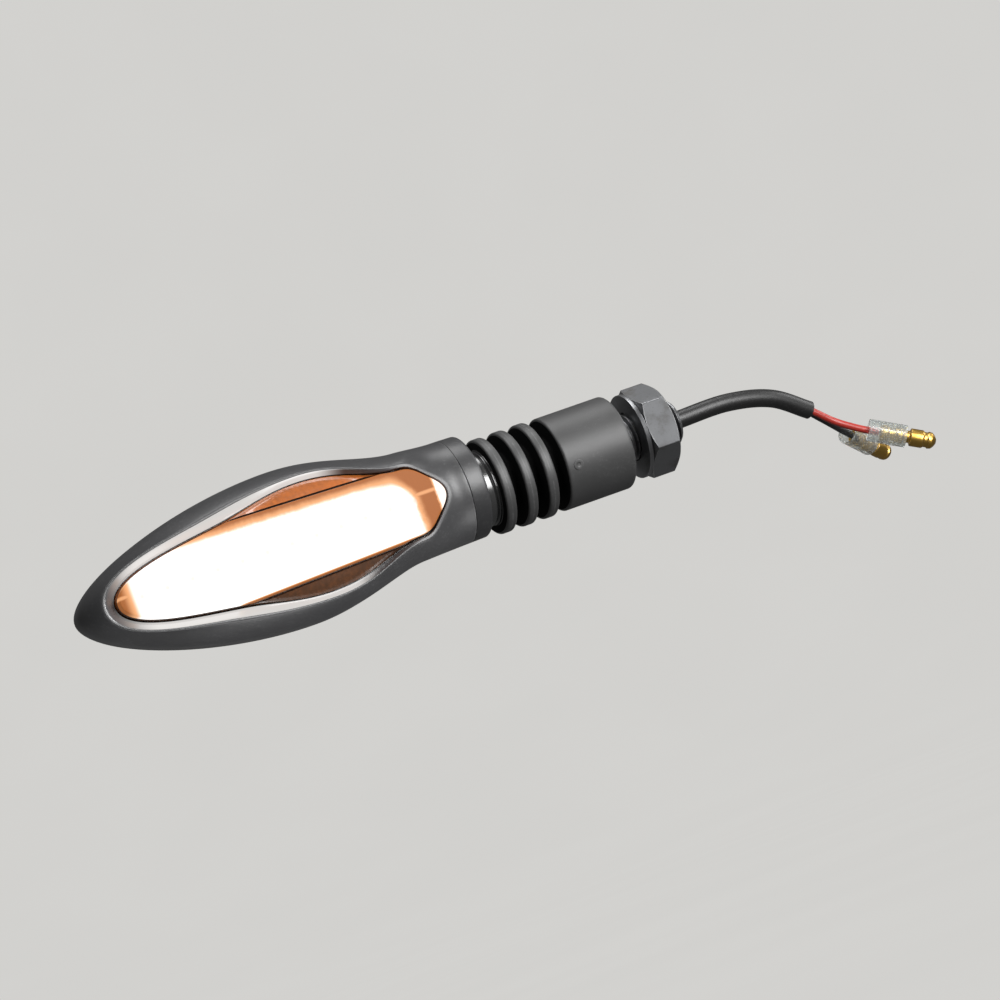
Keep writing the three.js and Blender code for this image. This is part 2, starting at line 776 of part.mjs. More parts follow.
function ledReflector() {
  const length = LED_PITCH * LED_COUNT - 2.2;
  const middle = FIRST_LED_AT + (LED_PITCH * (LED_COUNT - 1)) / 2;
  const slack = 0.7;
  const windows = ledPlaces.map((along) => (
    rectangleLoop(along, 0, LED_SIZE.length + slack, LED_SIZE.height + slack)
  ));
  const front = CAVITY_DEPTH - 0.6;
  return plate(rectangleLoop(middle, 0, length, REFLECTOR_HEIGHT), windows, BOARD_FRONT + SEAT_GAP, front);
}

// Box-shaped component that stands on the board's front.
function onFront({ length, depth, height, along, up }) {
  const box = new THREE.BoxGeometry(length, depth, height);
  return box.translate(along, BOARD_FRONT + SEAT_GAP + depth / 2, up);
}

// Box-shaped component that hangs on the board's back.
function onBack({ length, depth, height, along, up }) {
  const box = new THREE.BoxGeometry(length, depth, height);
  return box.translate(along, BOARD.back - SEAT_GAP - depth / 2, up);
}

// The leads rise from the end of the cable inside the neck to the back of the board.
function boardLead(side) {
  return wireAlong([
    [5.5, 0.9 * side, -HEAD_RISE],
    [7.5, 0.9 * side, -HEAD_RISE - 0.3 * side],
    [11.6, 1 + 0.5 * side, -HEAD_RISE - 1.3 * side],
    [14, BOARD.back - WIRE_RADIUS - SEAT_GAP, -HEAD_RISE - 1.7 * side],
  ], WIRE_RADIUS, 8, 8);
}

// ---------------------------------------------------------------- assembly

const part = new THREE.Group();
const stalk = new THREE.Group();
stalk.position.set(0, 0, -ORIGIN_ABOVE_AXIS);
part.add(stalk);
const head = new THREE.Group();
head.position.set(headStart, 0, HEAD_RISE);
head.rotation.z = Math.PI;
stalk.add(head);

function place(parent, name, geometry, material) {
  const mesh = new THREE.Mesh(geometry, material());
  mesh.name = name;
  parent.add(mesh);
  return mesh;
}

function assembleStalk() {
  place(stalk, 'rubber_barrel', rubberBarrel(), RUBBER);
  place(stalk, 'flex_rib_3', flexRib(rib3, groove4, STUB), RUBBER);
  place(stalk, 'flex_rib_2', flexRib(rib2, groove3, STUB), RUBBER);
  place(stalk, 'flex_rib_1', flexRib(rib1, groove2, 0), RUBBER);
  place(stalk, 'rubber_neck', rubberNeck(), RUBBER);
  place(stalk, 'threaded_stud', threadedStud(), STEEL);
  place(stalk, 'flat_washer', flatWasher(), STEEL);
  place(stalk, 'hex_nut', hexNut(), STEEL);
}

function assembleCable() {
  place(stalk, 'cable_sheath', wireAlong(SHEATH_PATH, CABLE_RADIUS, 18, 10), CABLE);
  place(stalk, 'cable_flex', cableFlex(), CABLE);
  for (const [name, path] of Object.entries(WIRES)) {
    place(stalk, `wire_${name}`, wireAlong(path, WIRE_RADIUS, 10, 8), name === 'positive' ? RED_WIRE : CABLE);
    const [before, end] = path.slice(-2).map((p) => new THREE.Vector3(...p));
    const direction = end.clone().sub(before).normalize();
    const pieces = [
      place(stalk, `bullet_terminal_${name}`, bulletTerminal(), BRASS),
      place(stalk, `terminal_sleeve_${name}`, terminalSleeve(), CLEAR_SLEEVE),
    ];
    for (const piece of pieces) {
      piece.position.copy(end).addScaledVector(direction, 0.3);
      piece.quaternion.setFromUnitVectors(new THREE.Vector3(1, 0, 0), direction);
    }
  }
}

function assembleHousing() {
  place(head, 'neck_collar', neckCollar(), HOUSING);
  place(head, 'front_bezel', frontBezel(), HOUSING);
  place(head, 'rear_shell', rearShell(), HOUSING);
  place(head, 'lens', lensBody(), AMBER);
  place(head, 'lens_gasket', lensGasket(), SEALING);
  SCREW_PLACES.forEach(({ along, up }, i) => {
    const screw = place(head, `shell_screw_${i + 1}`, shellScrew(), DARK_STEEL);
    screw.position.set(along, SCREW.seat, up);
  });
}

function assembleElectronics() {
  place(head, 'led_board', ledBoard(), BOARD_GREEN);
  place(head, 'reflector', ledReflector(), WHITE_PLASTIC);
  ledPlaces.forEach((along, i) => {
    const name = `led_${String(i + 1).padStart(2, '0')}`;
    place(head, name, onFront({ ...LED_SIZE, along, up: 0 }), LED_BODY);
  });
  RESISTOR_PLACES.forEach((along, i) => {
    place(head, `resistor_${i + 1}`, onBack({ ...RESISTOR, along }), CHIP_BLACK);
  });
  place(head, 'driver_chip', onBack(CHIP), CHIP_BLACK);
  place(head, 'diode', onBack(DIODE), CHIP_BLACK);
  place(head, 'capacitor', onBack(CAPACITOR), WHITE_PLASTIC);
  place(head, 'lead_positive', boardLead(1), RED_WIRE);
  place(head, 'lead_negative', boardLead(-1), CABLE);
}

assembleStalk();
assembleCable();
assembleHousing();
assembleElectronics();

export default part;
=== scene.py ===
"""Looks of the turn signal indicator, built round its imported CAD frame.

Shapes are worked out in millimetres about the stalk's axis, which runs along X, and are turned into metres
when a mesh is made. Each finished piece is then lowered onto the axis of the part's frame. Head shapes use
(along, depth, up): along runs from the neck to the tip, depth towards the side that shines, and up is
measured from the head's own middle plane.
"""

import math

import bmesh
import bpy
import numpy as np
from mathutils import Matrix, Vector


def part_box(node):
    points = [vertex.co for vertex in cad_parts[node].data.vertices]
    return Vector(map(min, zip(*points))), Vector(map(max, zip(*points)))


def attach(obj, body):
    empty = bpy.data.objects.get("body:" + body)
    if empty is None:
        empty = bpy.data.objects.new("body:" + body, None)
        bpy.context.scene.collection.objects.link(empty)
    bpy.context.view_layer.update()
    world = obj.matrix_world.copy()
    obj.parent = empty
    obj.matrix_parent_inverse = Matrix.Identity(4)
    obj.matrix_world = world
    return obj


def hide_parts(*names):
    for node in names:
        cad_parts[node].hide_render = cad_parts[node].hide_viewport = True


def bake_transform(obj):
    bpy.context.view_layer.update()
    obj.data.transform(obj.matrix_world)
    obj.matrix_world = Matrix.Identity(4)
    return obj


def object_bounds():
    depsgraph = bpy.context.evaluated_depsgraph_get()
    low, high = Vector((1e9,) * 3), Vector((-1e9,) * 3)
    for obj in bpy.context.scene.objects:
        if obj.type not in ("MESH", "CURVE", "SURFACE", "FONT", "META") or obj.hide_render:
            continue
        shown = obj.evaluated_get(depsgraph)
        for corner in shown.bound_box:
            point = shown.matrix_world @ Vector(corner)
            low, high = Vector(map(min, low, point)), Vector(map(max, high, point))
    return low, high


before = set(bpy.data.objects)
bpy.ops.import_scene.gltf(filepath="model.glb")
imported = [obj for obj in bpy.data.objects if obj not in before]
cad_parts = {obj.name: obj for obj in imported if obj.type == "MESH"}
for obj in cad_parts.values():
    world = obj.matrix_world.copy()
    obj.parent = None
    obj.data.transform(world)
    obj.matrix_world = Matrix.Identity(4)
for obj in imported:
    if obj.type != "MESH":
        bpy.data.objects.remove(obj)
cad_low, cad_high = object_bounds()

MM = 0.001
ON_AXIS = 0.01

# ---------------------------------------------------------------- dimensions, in millimetres

BARREL_RADIUS = 10.0
RIB_RADIUS = 10.15
CORE_RADIUS = 6.0
CORE_STUB = 0.45
STALK_BORE_RADIUS = 2.75
NECK_RADIUS = 8.0
NECK_WAIST_RADIUS = 6.2
NECK_BEAD_RADIUS = 7.1

STUD_RADIUS = 5.0
THREAD_PITCH = 1.25
THREAD_DEPTH = 0.6134 * THREAD_PITCH
THREAD_FACETS = 48
STUD_BORE_RADIUS = 2.2
ANCHOR_RADIUS = 7.2
ANCHOR_FROM = -12.0
ANCHOR_TO = -9.0
RUBBER_SLACK = 0.1

WASHER_BORE = 5.2
NUT_ACROSS_FLATS = 17.0
NUT_CLEARANCE = 0.15

CABLE_RADIUS = 1.9
SHEATH_WALL = 0.35
WIRE_RADIUS = 0.75
SHEATH_PATH = [(-14.6, 0, 0), (0, 0, 0), (14, 0, 0), (27, 0, 0), (37, 1, -2.2), (45, 3, -7)]
WIRE_PATHS = {
    "positive": [(45.4, 2.3, -7.6), (49.5, 2.6, -11.2), (54, 1.4, -14.6), (57, 0.6, -16.4)],
    "negative": [(45.5, 4.1, -7.5), (49.5, 6.2, -10.6), (53.5, 9.4, -13.2), (56, 11.2, -14.8)],
}

HOUSING_START = 3.9
HOUSING_RADIUS = 10.95
COLLAR_RADIUS = 10.85
COLLAR_WIDTH = 3.8
WIDEST_AT = 41.0
WIDEST_HALF_HEIGHT = 16.0
HEAD_LENGTH = 88.0
WALL = 1.8
SEAM_CHAMFER = 0.15

RIM_DEPTH = 10.6
BAR_DEPTH = 11.9
BAR_START, BAR_START_HALF_HEIGHT = 14.0, 7.2
BAR_TAPER = 0.031
BEVEL_DROP = 1.1
LEDGE_DEPTH = 7.6
LEDGE_WIDTH = 1.7
LENS_UNDERSIDE = 8.25
BOARD_FRONT = 4.4
BOARD_BACK = BOARD_FRONT - 1.25

LEDS = 12
RESISTORS = 3
LED_PITCH = 5.45
FIRST_LED_AT = 16.3

SCREW_PLACES = [(24.0, 4.9), (53.0, -4.9)]
SCREW_SEAT = -8.2
SCREW_RADIUS = 1.0
SCREW_HEAD_RADIUS = 2.0
SCREW_HEAD_HEIGHT = 1.1
SCREW_LENGTH = 15.2
SCREW_SLACK = 0.15
STAND_RADIUS = 2.4
BOSS_RADIUS = 1.7


# Height of the stalk's axis in the part's frame.
AXIS_Z = (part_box("flex_rib_2")[0][2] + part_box("flex_rib_2")[1][2]) / 2 / MM


def box_mm(node):
    """Corners of a CAD node's box about the stalk's axis."""
    low, high = (np.array(corner) / MM - (0, 0, AXIS_Z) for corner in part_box(node))
    return low, high


# Places read from the CAD frame.
HEAD_START = box_mm("neck_collar")[1][0]
HEAD_RISE = (box_mm("neck_collar")[0][2] + box_mm("neck_collar")[1][2]) / 2
BARREL_END = box_mm("rubber_barrel")[0][0] + CORE_STUB
RIB_SPANS = {
    3: (box_mm("flex_rib_3")[0][0] + CORE_STUB, box_mm("flex_rib_3")[1][0] - CORE_STUB),
    2: (box_mm("flex_rib_2")[0][0] + CORE_STUB, box_mm("flex_rib_2")[1][0] - CORE_STUB),
    1: (box_mm("flex_rib_1")[0][0], box_mm("flex_rib_1")[1][0] - CORE_STUB),
}
NECK_END = box_mm("rubber_neck")[0][0]
STUD_END = box_mm("threaded_stud")[1][0]
NUT_FROM, NUT_TO = box_mm("hex_nut")[0][0], box_mm("hex_nut")[1][0]
WASHER_FROM, WASHER_TO = box_mm("flat_washer")[0][0], box_mm("flat_washer")[1][0]
WASHER_RADIUS = box_mm("flat_washer")[1][2]

# ---------------------------------------------------------------- meshes


def make_object(name, points, faces, materials, zones=None, sharp=32):
    """Object from points in millimetres. zones holds each face's material number."""
    mesh = bpy.data.meshes.new(name)
    mesh.from_pydata((np.asarray(points, float) * MM).tolist(), [], faces)
    obj = bpy.data.objects.new(name, mesh)
    bpy.context.scene.collection.objects.link(obj)
    for material in materials if isinstance(materials, (list, tuple)) else [materials]:
        mesh.materials.append(material)
    if zones is not None:
        mesh.polygons.foreach_set("material_index", zones)
    clean(obj, sharp)
    return obj


def clean(obj, sharp=32):
    """Merges doubled points, turns the faces outwards and sets smooth shading up to an angle."""
    work = bmesh.new()
    work.from_mesh(obj.data)
    bmesh.ops.remove_doubles(work, verts=work.verts, dist=1e-6)
    bmesh.ops.dissolve_degenerate(work, edges=work.edges, dist=1e-7)
    bmesh.ops.recalc_face_normals(work, faces=work.faces)
    work.to_mesh(obj.data)
    work.free()
    obj.data.shade_smooth()
    obj.data.set_sharp_from_angle(angle=math.radians(sharp))


def combine(obj, tool, operation, sharp=32):
    """Applies a boolean with tool, then deletes the tool."""
    modifier = obj.modifiers.new("combine", "BOOLEAN")
    modifier.operation = operation
    modifier.solver = "EXACT"
    modifier.object = tool
    depsgraph = bpy.context.evaluated_depsgraph_get()
    result = bpy.data.meshes.new_from_object(obj.evaluated_get(depsgraph))
    obj.modifiers.clear()
    obj.data = result
    bpy.data.objects.remove(tool)
    clean(obj, sharp)
    return obj


def smooth_normals(obj):
    """Weights normals by face area, so that small cuts leave no marks in a smooth surface."""
    modifier = obj.modifiers.new("normals", "WEIGHTED_NORMAL")
    modifier.keep_sharp = True


def ring_mesh(name, rings, materials, zones=None, closed=False, sharp=32):
    """Skin over rings of equally many points. Open stacks get a face on each end ring."""
    rings = [np.asarray(ring, float) for ring in rings]
    count = len(rings[0])
    faces, face_zones = [], []
    last = len(rings) if closed else len(rings) - 1
    for r in range(last):
        here, there = r * count, ((r + 1) % len(rings)) * count
        for i in range(count):
            j = (i + 1) % count
            faces.append((here + i, here + j, there + j, there + i))
            face_zones.append(zones[r] if zones else 0)
    if not closed:
        faces.append(tuple(range(count)))
        faces.append(tuple(range((len(rings) - 1) * count, len(rings) * count)))
        face_zones += [zones[0] if zones else 0, zones[-1] if zones else 0]
    return make_object(name, np.vstack(rings), faces, materials, face_zones if zones else None, sharp)


def fillet(corners, radii, steps=5):
    """Open path through corners, rounded at each inner corner by its radius (0 keeps it sharp)."""
    corners = [np.array(c, float) for c in corners]
    path = [corners[0]]
    for before, corner, after, radius in zip(corners, corners[1:], corners[2:], radii):
        if radius == 0:
            path.append(corner)
            continue
        u = (before - corner) / np.linalg.norm(before - corner)
        v = (after - corner) / np.linalg.norm(after - corner)
        opening = math.acos(np.clip(u @ v, -1, 1))
        reach = radius / math.tan(opening / 2)
        middle = corner + (u + v) / np.linalg.norm(u + v) * radius / math.sin(opening / 2)
        a, b = corner + u * reach - middle, corner + v * reach - middle
        turn = math.pi - opening
        for k in range(steps + 1):
            share = k / steps
            arm = (math.sin((1 - share) * turn) * a + math.sin(share * turn) * b) / math.sin(turn)
            path.append(middle + arm)
    path.append(corners[-1])
    return path


def densify(path, longest, closed=True):
    """Path with its long segments split into equal parts."""
    out = []
    following = path[1:] + path[:1] if closed else path[1:]
    for a, b in zip(path, following):
        parts = max(1, math.ceil(np.linalg.norm(np.subtract(b, a)) / longest - 1e-9))
        out += [np.add(a, np.subtract(b, a) * k / parts) for k in range(parts)]
    return out if closed else out + [path[-1]]


def turned(name, profile, materials, segments=96, closed=True, zones=None, sharp=32, centre=None):
    """Solid of revolution about X from (x, radius) pairs. centre(x, radius) may shift a ring's z."""
    angles = np.arange(segments) * 2 * math.pi / segments
    rings = []
    for x, radius in profile:
        middle = centre(x, radius) if centre else 0.0
        rings.append(np.column_stack([
            np.full(segments, x), radius * np.cos(angles), radius * np.sin(angles) + middle,
        ]))
    return ring_mesh(name, rings, materials, zones, closed, sharp)


def plug(name, profile, material, segments=96):
    """Solid of revolution whose profile is closed by flat ends that reach the axis."""
    ends = [(profile[0][0], ON_AXIS)], [(profile[-1][0], ON_AXIS)]
    return turned(name, [*ends[0], *profile, *ends[1]], material, segments, closed=False)


def catmull_rom(points, per_span):
    """Centripetal curve through points."""
    knots = [np.array(p, float) for p in points]
    knots = [2 * knots[0] - knots[1], *knots, 2 * knots[-1] - knots[-2]]
    curve = []
    for a, b, c, d in zip(knots, knots[1:], knots[2:], knots[3:]):
        t1 = np.linalg.norm(b - a) ** 0.5
        t2 = t1 + np.linalg.norm(c - b) ** 0.5
        t3 = t2 + np.linalg.norm(d - c) ** 0.5
        for t in np.linspace(t1, t2, per_span, endpoint=False):
            ab = a + (b - a) * t / t1
            bc = b + (c - b) * (t - t1) / (t2 - t1)
            cd = c + (d - c) * (t - t2) / (t3 - t2)
            abc = ab + (bc - ab) * t / t2
            bcd = bc + (cd - bc) * (t - t1) / (t3 - t1)
            curve.append(abc + (bcd - abc) * (t - t1) / (t2 - t1))
    return np.array([*curve, knots[-2]])


def tube(name, centres, radii, material, sides=32):
    """Round skin along centres, one ring per centre, carried without twist.

    Where the centres turn back to line a bore, the rings keep facing the way they did.
    """
    centres = np.asarray(centres, float)
    angles = np.arange(sides) * 2 * math.pi / sides
    steps = np.diff(centres, axis=0)
    lengths = np.linalg.norm(steps, axis=1)
    useful = np.where(lengths > 1e-9)[0]
    headings = []
    for k in useful:
        heading = steps[k] / lengths[k]
        headings.append(-heading if headings and heading @ headings[-1] < 0 else heading)
    side = np.array([0.0, 0.0, 1.0])
    rings = []
    for k, (centre, radius) in enumerate(zip(centres, radii)):
        ahead, behind = (headings[np.argmin(np.abs(useful - step))] for step in (k, k - 1))
        tangent = ahead + behind
        tangent = tangent / np.linalg.norm(tangent)
        side = side - tangent * (side @ tangent)
        side = side / np.linalg.norm(side)
        across = np.cross(tangent, side)
        rings.append(centre + radius * (np.outer(np.cos(angles), side) + np.outer(np.sin(angles), across)))
    return ring_mesh(name, rings, material)


def cylinder(name, axis, centre, radius, low, high, material, segments=32):
    """Plain round tool for booleans along an axis, from low to high."""
    a, b = [k for k in range(3) if k != axis]
    angles = np.arange(segments) * 2 * math.pi / segments
    rings = []
    for level in (low, high):
        ring = np.zeros((segments, 3))
        ring[:, axis] = level
        ring[:, a] = centre[0] + radius * np.cos(angles)
        ring[:, b] = centre[1] + radius * np.sin(angles)
        rings.append(ring)
    return ring_mesh(name, rings, material)


def to_frame(points):
    """Head points (along, depth, up) in the part's frame."""
    along, depth, up = np.asarray(points, float).T
    return np.column_stack([HEAD_START - along, -depth, HEAD_RISE + up])


# ---------------------------------------------------------------- materials


def node(tree, kind, inputs=None, **settings):
    """Adds a shader node. An input takes a value or another node's output."""
    made = tree.nodes.new("ShaderNode" + kind)
    for key, value in settings.items():
        setattr(made, key, value)
    for key, value in (inputs or {}).items():
        if isinstance(value, bpy.types.NodeSocket):
            tree.links.new(value, made.inputs[key])
        else:
            made.inputs[key].default_value = value
    return made


def new_material(name):
    material = bpy.data.materials.new(name)
    material.use_nodes = True
    material.node_tree.nodes.clear()
    return material, material.node_tree


def shaded(material, inputs):
    """Material finished with one principled shader."""
    tree = material.node_tree
    shader = node(tree, "BsdfPrincipled", inputs)
    node(tree, "OutputMaterial", {"Surface": shader.outputs[0]})
    return material


def place_of(tree, scale=(1, 1, 1)):
    """Place on the object in millimetres, stretched by scale."""
    coordinates = node(tree, "TexCoord").outputs["Object"]
    factors = tuple(s / MM for s in scale)
    return node(tree, "VectorMath", {0: coordinates, 1: factors}, operation="MULTIPLY").outputs[0]


def noise(tree, place, scale, detail=3.0, roughness=0.5):
    inputs = {"Vector": place, "Scale": scale, "Detail": detail, "Roughness": roughness}
    return node(tree, "TexNoise", inputs).outputs[0]


def remap(tree, value, low, high, to_low=0.0, to_high=1.0):
    inputs = {0: value, 1: low, 2: high, 3: to_low, 4: to_high}
    return node(tree, "MapRange", inputs, interpolation_type="SMOOTHSTEP").outputs[0]


def calc(tree, operation, a, b=0.0, clamp=False):
    return node(tree, "Math", {0: a, 1: b}, operation=operation, use_clamp=clamp).outputs[0]


def plus(tree, a, b):
    return calc(tree, "ADD", a, b)


def minus(tree, a, b):
    return calc(tree, "SUBTRACT", a, b)


def times(tree, a, b):
    return calc(tree, "MULTIPLY", a, b)


def bump_of(tree, height, strength, depth_mm):
    inputs = {"Height": height, "Strength": strength, "Distance": depth_mm * MM}
    return node(tree, "Bump", inputs).outputs[0]


def mix_colours(tree, share, a, b):
    made = node(tree, "Mix", {0: share, 6: a, 7: b}, data_type="RGBA")
    return made.outputs[2]


def colour(value, lift=1.0):
    """Linear colour from an sRGB hex string."""
    channels = [int(value[i:i + 2], 16) / 255 for i in (1, 3, 5)]
    linear = [c / 12.92 if c <= 0.04045 else ((c + 0.055) / 1.055) ** 2.4 for c in channels]
    return (*[min(c * lift, 1.0) for c in linear], 1.0)


def edge_wear(tree, radius_mm, place):
    """1 on sharp edges, broken up by noise, and 0 on flat and hidden ground."""
    rounded = node(tree, "Bevel", {"Radius": radius_mm * MM}, samples=4).outputs[0]
    straight = node(tree, "NewGeometry").outputs["Normal"]
    facing = node(tree, "VectorMath", {0: rounded, 1: straight}, operation="DOT_PRODUCT").outputs["Value"]
    edge = remap(tree, facing, 0.9, 0.99, 1.0, 0.0)
    return times(tree, edge, remap(tree, noise(tree, place, 0.9, 4), 0.35, 0.6, 0.15, 1.0))


def moulded(name, base, roughness, grain=2.2, grain_depth=0.02, shade=0.15, wear=0.35, light=None,
            specular=0.5, coat=0.0):
    """Moulded plastic or rubber: eroded grain, uneven sheen, paler dust and worn edges."""
    material, tree = new_material(name)
    place = place_of(tree)
    cloud = noise(tree, place, 0.12, 4, 0.6)
    speck = noise(tree, place, 1.7, 5, 0.7)
    fine = noise(tree, place, grain, 4, 0.6)
    dark = colour(base, 1 - shade)
    pale = colour(light or base, 1 + 2 * shade)
    body = mix_colours(tree, remap(tree, cloud, 0.3, 0.7), dark, colour(base))
    dusty = remap(tree, cloud, 0.4, 0.65, 0.2, 1.0)
    dust = times(tree, remap(tree, speck, 0.52, 0.72, 0.0, 0.5), dusty)
    body = mix_colours(tree, dust, body, pale)
    worn = times(tree, edge_wear(tree, 0.35, place), wear)
    body = mix_colours(tree, worn, body, colour(light or base, 2.2))
    rough = plus(tree, roughness - 0.07, times(tree, speck, 0.14))
    height = plus(tree, fine, times(tree, speck, 0.6))
    bump = bump_of(tree, height, 0.55, grain_depth)
    return shaded(material, {
        "Base Color": body, "Roughness": rough, "Normal": bump,
        "Specular IOR Level": specular, "Coat Weight": coat, "Coat Roughness": 0.25,
    })


def metal(name, base, roughness, stretch=(1, 1, 1), tarnish="#5a5348", scratch_depth=0.012):
    """Plated metal: tool marks along the stretch, stains and bright worn edges."""
    material, tree = new_material(name)
    place = place_of(tree)
    marks = noise(tree, place_of(tree, stretch), 1.4, 5, 0.65)
    stain = noise(tree, place, 0.22, 5, 0.62)
    speck = noise(tree, place, 2.6, 3, 0.5)
    body = mix_colours(tree, remap(tree, stain, 0.5, 0.78, 0.0, 0.55), colour(base), colour(tarnish))
    body = mix_colours(tree, remap(tree, speck, 0.6, 0.75, 0.0, 0.35), body, colour(tarnish, 0.6))
    worn = edge_wear(tree, 0.25, place)
    body = mix_colours(tree, times(tree, worn, 0.7), body, colour("#e9e9ea"))
    rough = plus(tree, roughness, times(tree, stain, 0.18))
    rough = calc(tree, "SUBTRACT", rough, times(tree, worn, 0.1), clamp=True)
    height = plus(tree, marks, times(tree, speck, 0.5))
    bump = bump_of(tree, height, 0.5, scratch_depth)
    return shaded(material, {
        "Base Color": body, "Metallic": 1.0, "Roughness": rough, "Normal": bump,
    })


def head_place(tree):
    """Sockets for along and up on the head, in millimetres."""
    axes = node(tree, "SeparateXYZ", {0: place_of(tree)})
    along = minus(tree, HEAD_START, axes.outputs["X"])
    up = minus(tree, axes.outputs["Z"], AXIS_Z + HEAD_RISE)
    return along, up


def flutes(tree, along, pitch):
    """Rounded ribs across the lens, as heights from 0 to 1."""
    wave = calc(tree, "PINGPONG", along, pitch / 2)
    return remap(tree, wave, 0.0, pitch / 2, 0.0, 1.0)


def polish_with_painted_reflection(material):
    """Satin by the arrow. Further out it is polished, and a painted reflection of the bar beside it glows
    white there as emission.
    """
    tree = material.node_tree
    shader = next(n for n in tree.nodes if n.type == "BSDF_PRINCIPLED")
    along, up = head_place(tree)
    polish = remap(tree, along, 20.0, 28.0)
    normal = node(tree, "TexCoord").outputs["Normal"]
    rise = node(tree, "SeparateXYZ", {0: normal}).outputs["Z"]
    away = times(tree, calc(tree, "SIGN", up), rise)
    faces_bar = remap(tree, away, -0.3, 0.1, 1.0, 0.0)
    # Painted reflection: white emission along the bevel's middle stretch, on the faces towards the bar.
    painted_reflection_span = times(tree, remap(tree, along, 27.0, 34.0, 0.0, 0.75),
                      remap(tree, along, 74.0, 84.0, 1.0, 0.0))
    painted_reflection = times(tree, painted_reflection_span, faces_bar)
    sheen = minus(tree, 0.42, times(tree, polish, 0.26))
    for socket, value in (("Roughness", sheen), ("Coat Weight", polish), ("Emission Strength", painted_reflection)):
        tree.links.new(value, shader.inputs[socket])
    shader.inputs["Emission Color"].default_value = colour("#efece8")
    return material


def lens_amber():
    """Clear amber moulding over dark housing, with fine flutes inside and a polished face. Its upper side is
    painted lighter with a faint painted glow, and its lower side is painted grey in shade towards the neck.
    """
    material, tree = new_material("lens_amber")
    along, up = head_place(tree)
    place = place_of(tree)
    cloud = noise(tree, place, 0.9, 4, 0.65)
    # Painted light: lighter on the upper side, darker on the lower side, and a faint painted glow on the
    # upper side as emission.
    painted_top_light = remap(tree, up, -2.0, 2.0)
    body = mix_colours(tree, painted_top_light, colour("#4a2f1c"), colour("#9c5522"))
    # Painted shade: the lower side turns grey towards the neck.
    painted_neck_shade = times(tree, remap(tree, along, 18.0, 34.0, 0.75, 0.0), minus(tree, 1.0, painted_top_light))
    body = mix_colours(tree, painted_neck_shade, body, colour("#4b4440"))
    body = mix_colours(tree, remap(tree, cloud, 0.35, 0.7, 0.0, 0.5), body, colour("#6b3f20"))
    ribs = plus(tree, flutes(tree, along, 1.2), times(tree, noise(tree, place, 1.5), 0.6))
    bump = bump_of(tree, ribs, 0.35, 0.08)
    return shaded(material, {
        "Base Color": body, "Roughness": 0.32, "Normal": bump, "Coat Weight": 1.0,
        "Coat Roughness": remap(tree, noise(tree, place, 1.2, 4), 0.3, 0.7, 0.03, 0.12),
        "Emission Color": colour("#d8742c"), "Emission Strength": times(tree, painted_top_light, 0.07),
    })


def lens_lit():
    """Bar lit from behind: white over the light sources, amber along its top and across the arrow end, with a
    painted white glint at the arrow's tip.
    """
    material, tree = new_material("lens_lit")
    along, up = head_place(tree)
    place = place_of(tree)
    wobble = minus(tree, noise(tree, place, 0.5, 4, 0.65), 0.5)
    half_height = plus(tree, times(tree, along, BAR_TAPER),
                       BAR_START_HALF_HEIGHT - BAR_TAPER * BAR_START)
    below_top = plus(tree, minus(tree, half_height, up), times(tree, wobble, 0.7))
    above_foot = plus(tree, half_height, up)
    fade = remap(tree, along, 15.0, 28.0, 4.6, 3.0)
    from_top = node(tree, "MapRange", {0: below_top, 1: 0.2, 2: fade, 3: 0.0, 4: 1.0}).outputs[0]
    from_foot = remap(tree, above_foot, 0.1, 0.7)
    shadow_end = plus(tree, remap(tree, up, 0.0, 6.0, 15.0, 17.5), wobble)
    past_shadow = remap(tree, minus(tree, along, shadow_end), -1.4, 2.8, 0.0, 1.0)
    # Painted glint: white at the arrow's tip.
    painted_apex_glint = remap(tree, plus(tree, along, wobble), 11.0, 11.8, 0.75, 0.0)
    tip = remap(tree, along, 76.0, 81.0, 1.0, 0.0)
    edges = times(tree, from_top, from_foot)
    white = times(tree, edges, times(tree, past_shadow, tip))
    from_seam = calc(tree, "ABSOLUTE", minus(tree, up, 1.0))
    seam = times(tree, remap(tree, from_seam, 0.1, 0.7, 0.4, 0.0), edges)
    white = calc(tree, "MAXIMUM", white, calc(tree, "MAXIMUM", painted_apex_glint, seam))
    from_led = calc(tree, "PINGPONG", minus(tree, along, FIRST_LED_AT), LED_PITCH / 2)
    square = plus(tree, times(tree, from_led, from_led), times(tree, up, up))
    dot = times(tree, remap(tree, square, 0.05, 0.5, 1.0, 0.0), white)
    amber, peach = (0.29, 0.105, 0.034, 1.0), (0.82, 0.42, 0.2, 1.0)
    glow = mix_colours(tree, remap(tree, white, 0.05, 0.5), amber, peach)
    glow = mix_colours(tree, remap(tree, white, 0.45, 0.95), glow, (1.6, 1.55, 1.5, 1.0))
    glow = mix_colours(tree, times(tree, dot, 0.8), glow, (0.78, 0.76, 0.74, 1.0))
    ribs = plus(tree, flutes(tree, along, 1.2), times(tree, noise(tree, place, 1.2), 0.5))
    bump = bump_of(tree, ribs, 0.25, 0.06)
    return shaded(material, {
        "Base Color": colour("#5c3010"), "Roughness": 0.5, "Normal": bump, "Specular IOR Level": 0.1,
        "Emission Color": glow, "Emission Strength": 1.0,
    })


def clear_sleeve():
    material, tree = new_material("clear_sleeve")
    place = place_of(tree)
    haze = noise(tree, place, 0.8, 4, 0.6)
    bump = bump_of(tree, haze, 0.3, 0.03)
    return shaded(material, {
        "Base Color": mix_colours(tree, haze, colour("#dfe4e4"), colour("#c9cfcc")),
        "Roughness": remap(tree, haze, 0.3, 0.7, 0.12, 0.3), "Transmission Weight": 0.85,
        "IOR": 1.45, "Alpha": 0.75, "Normal": bump,
    })


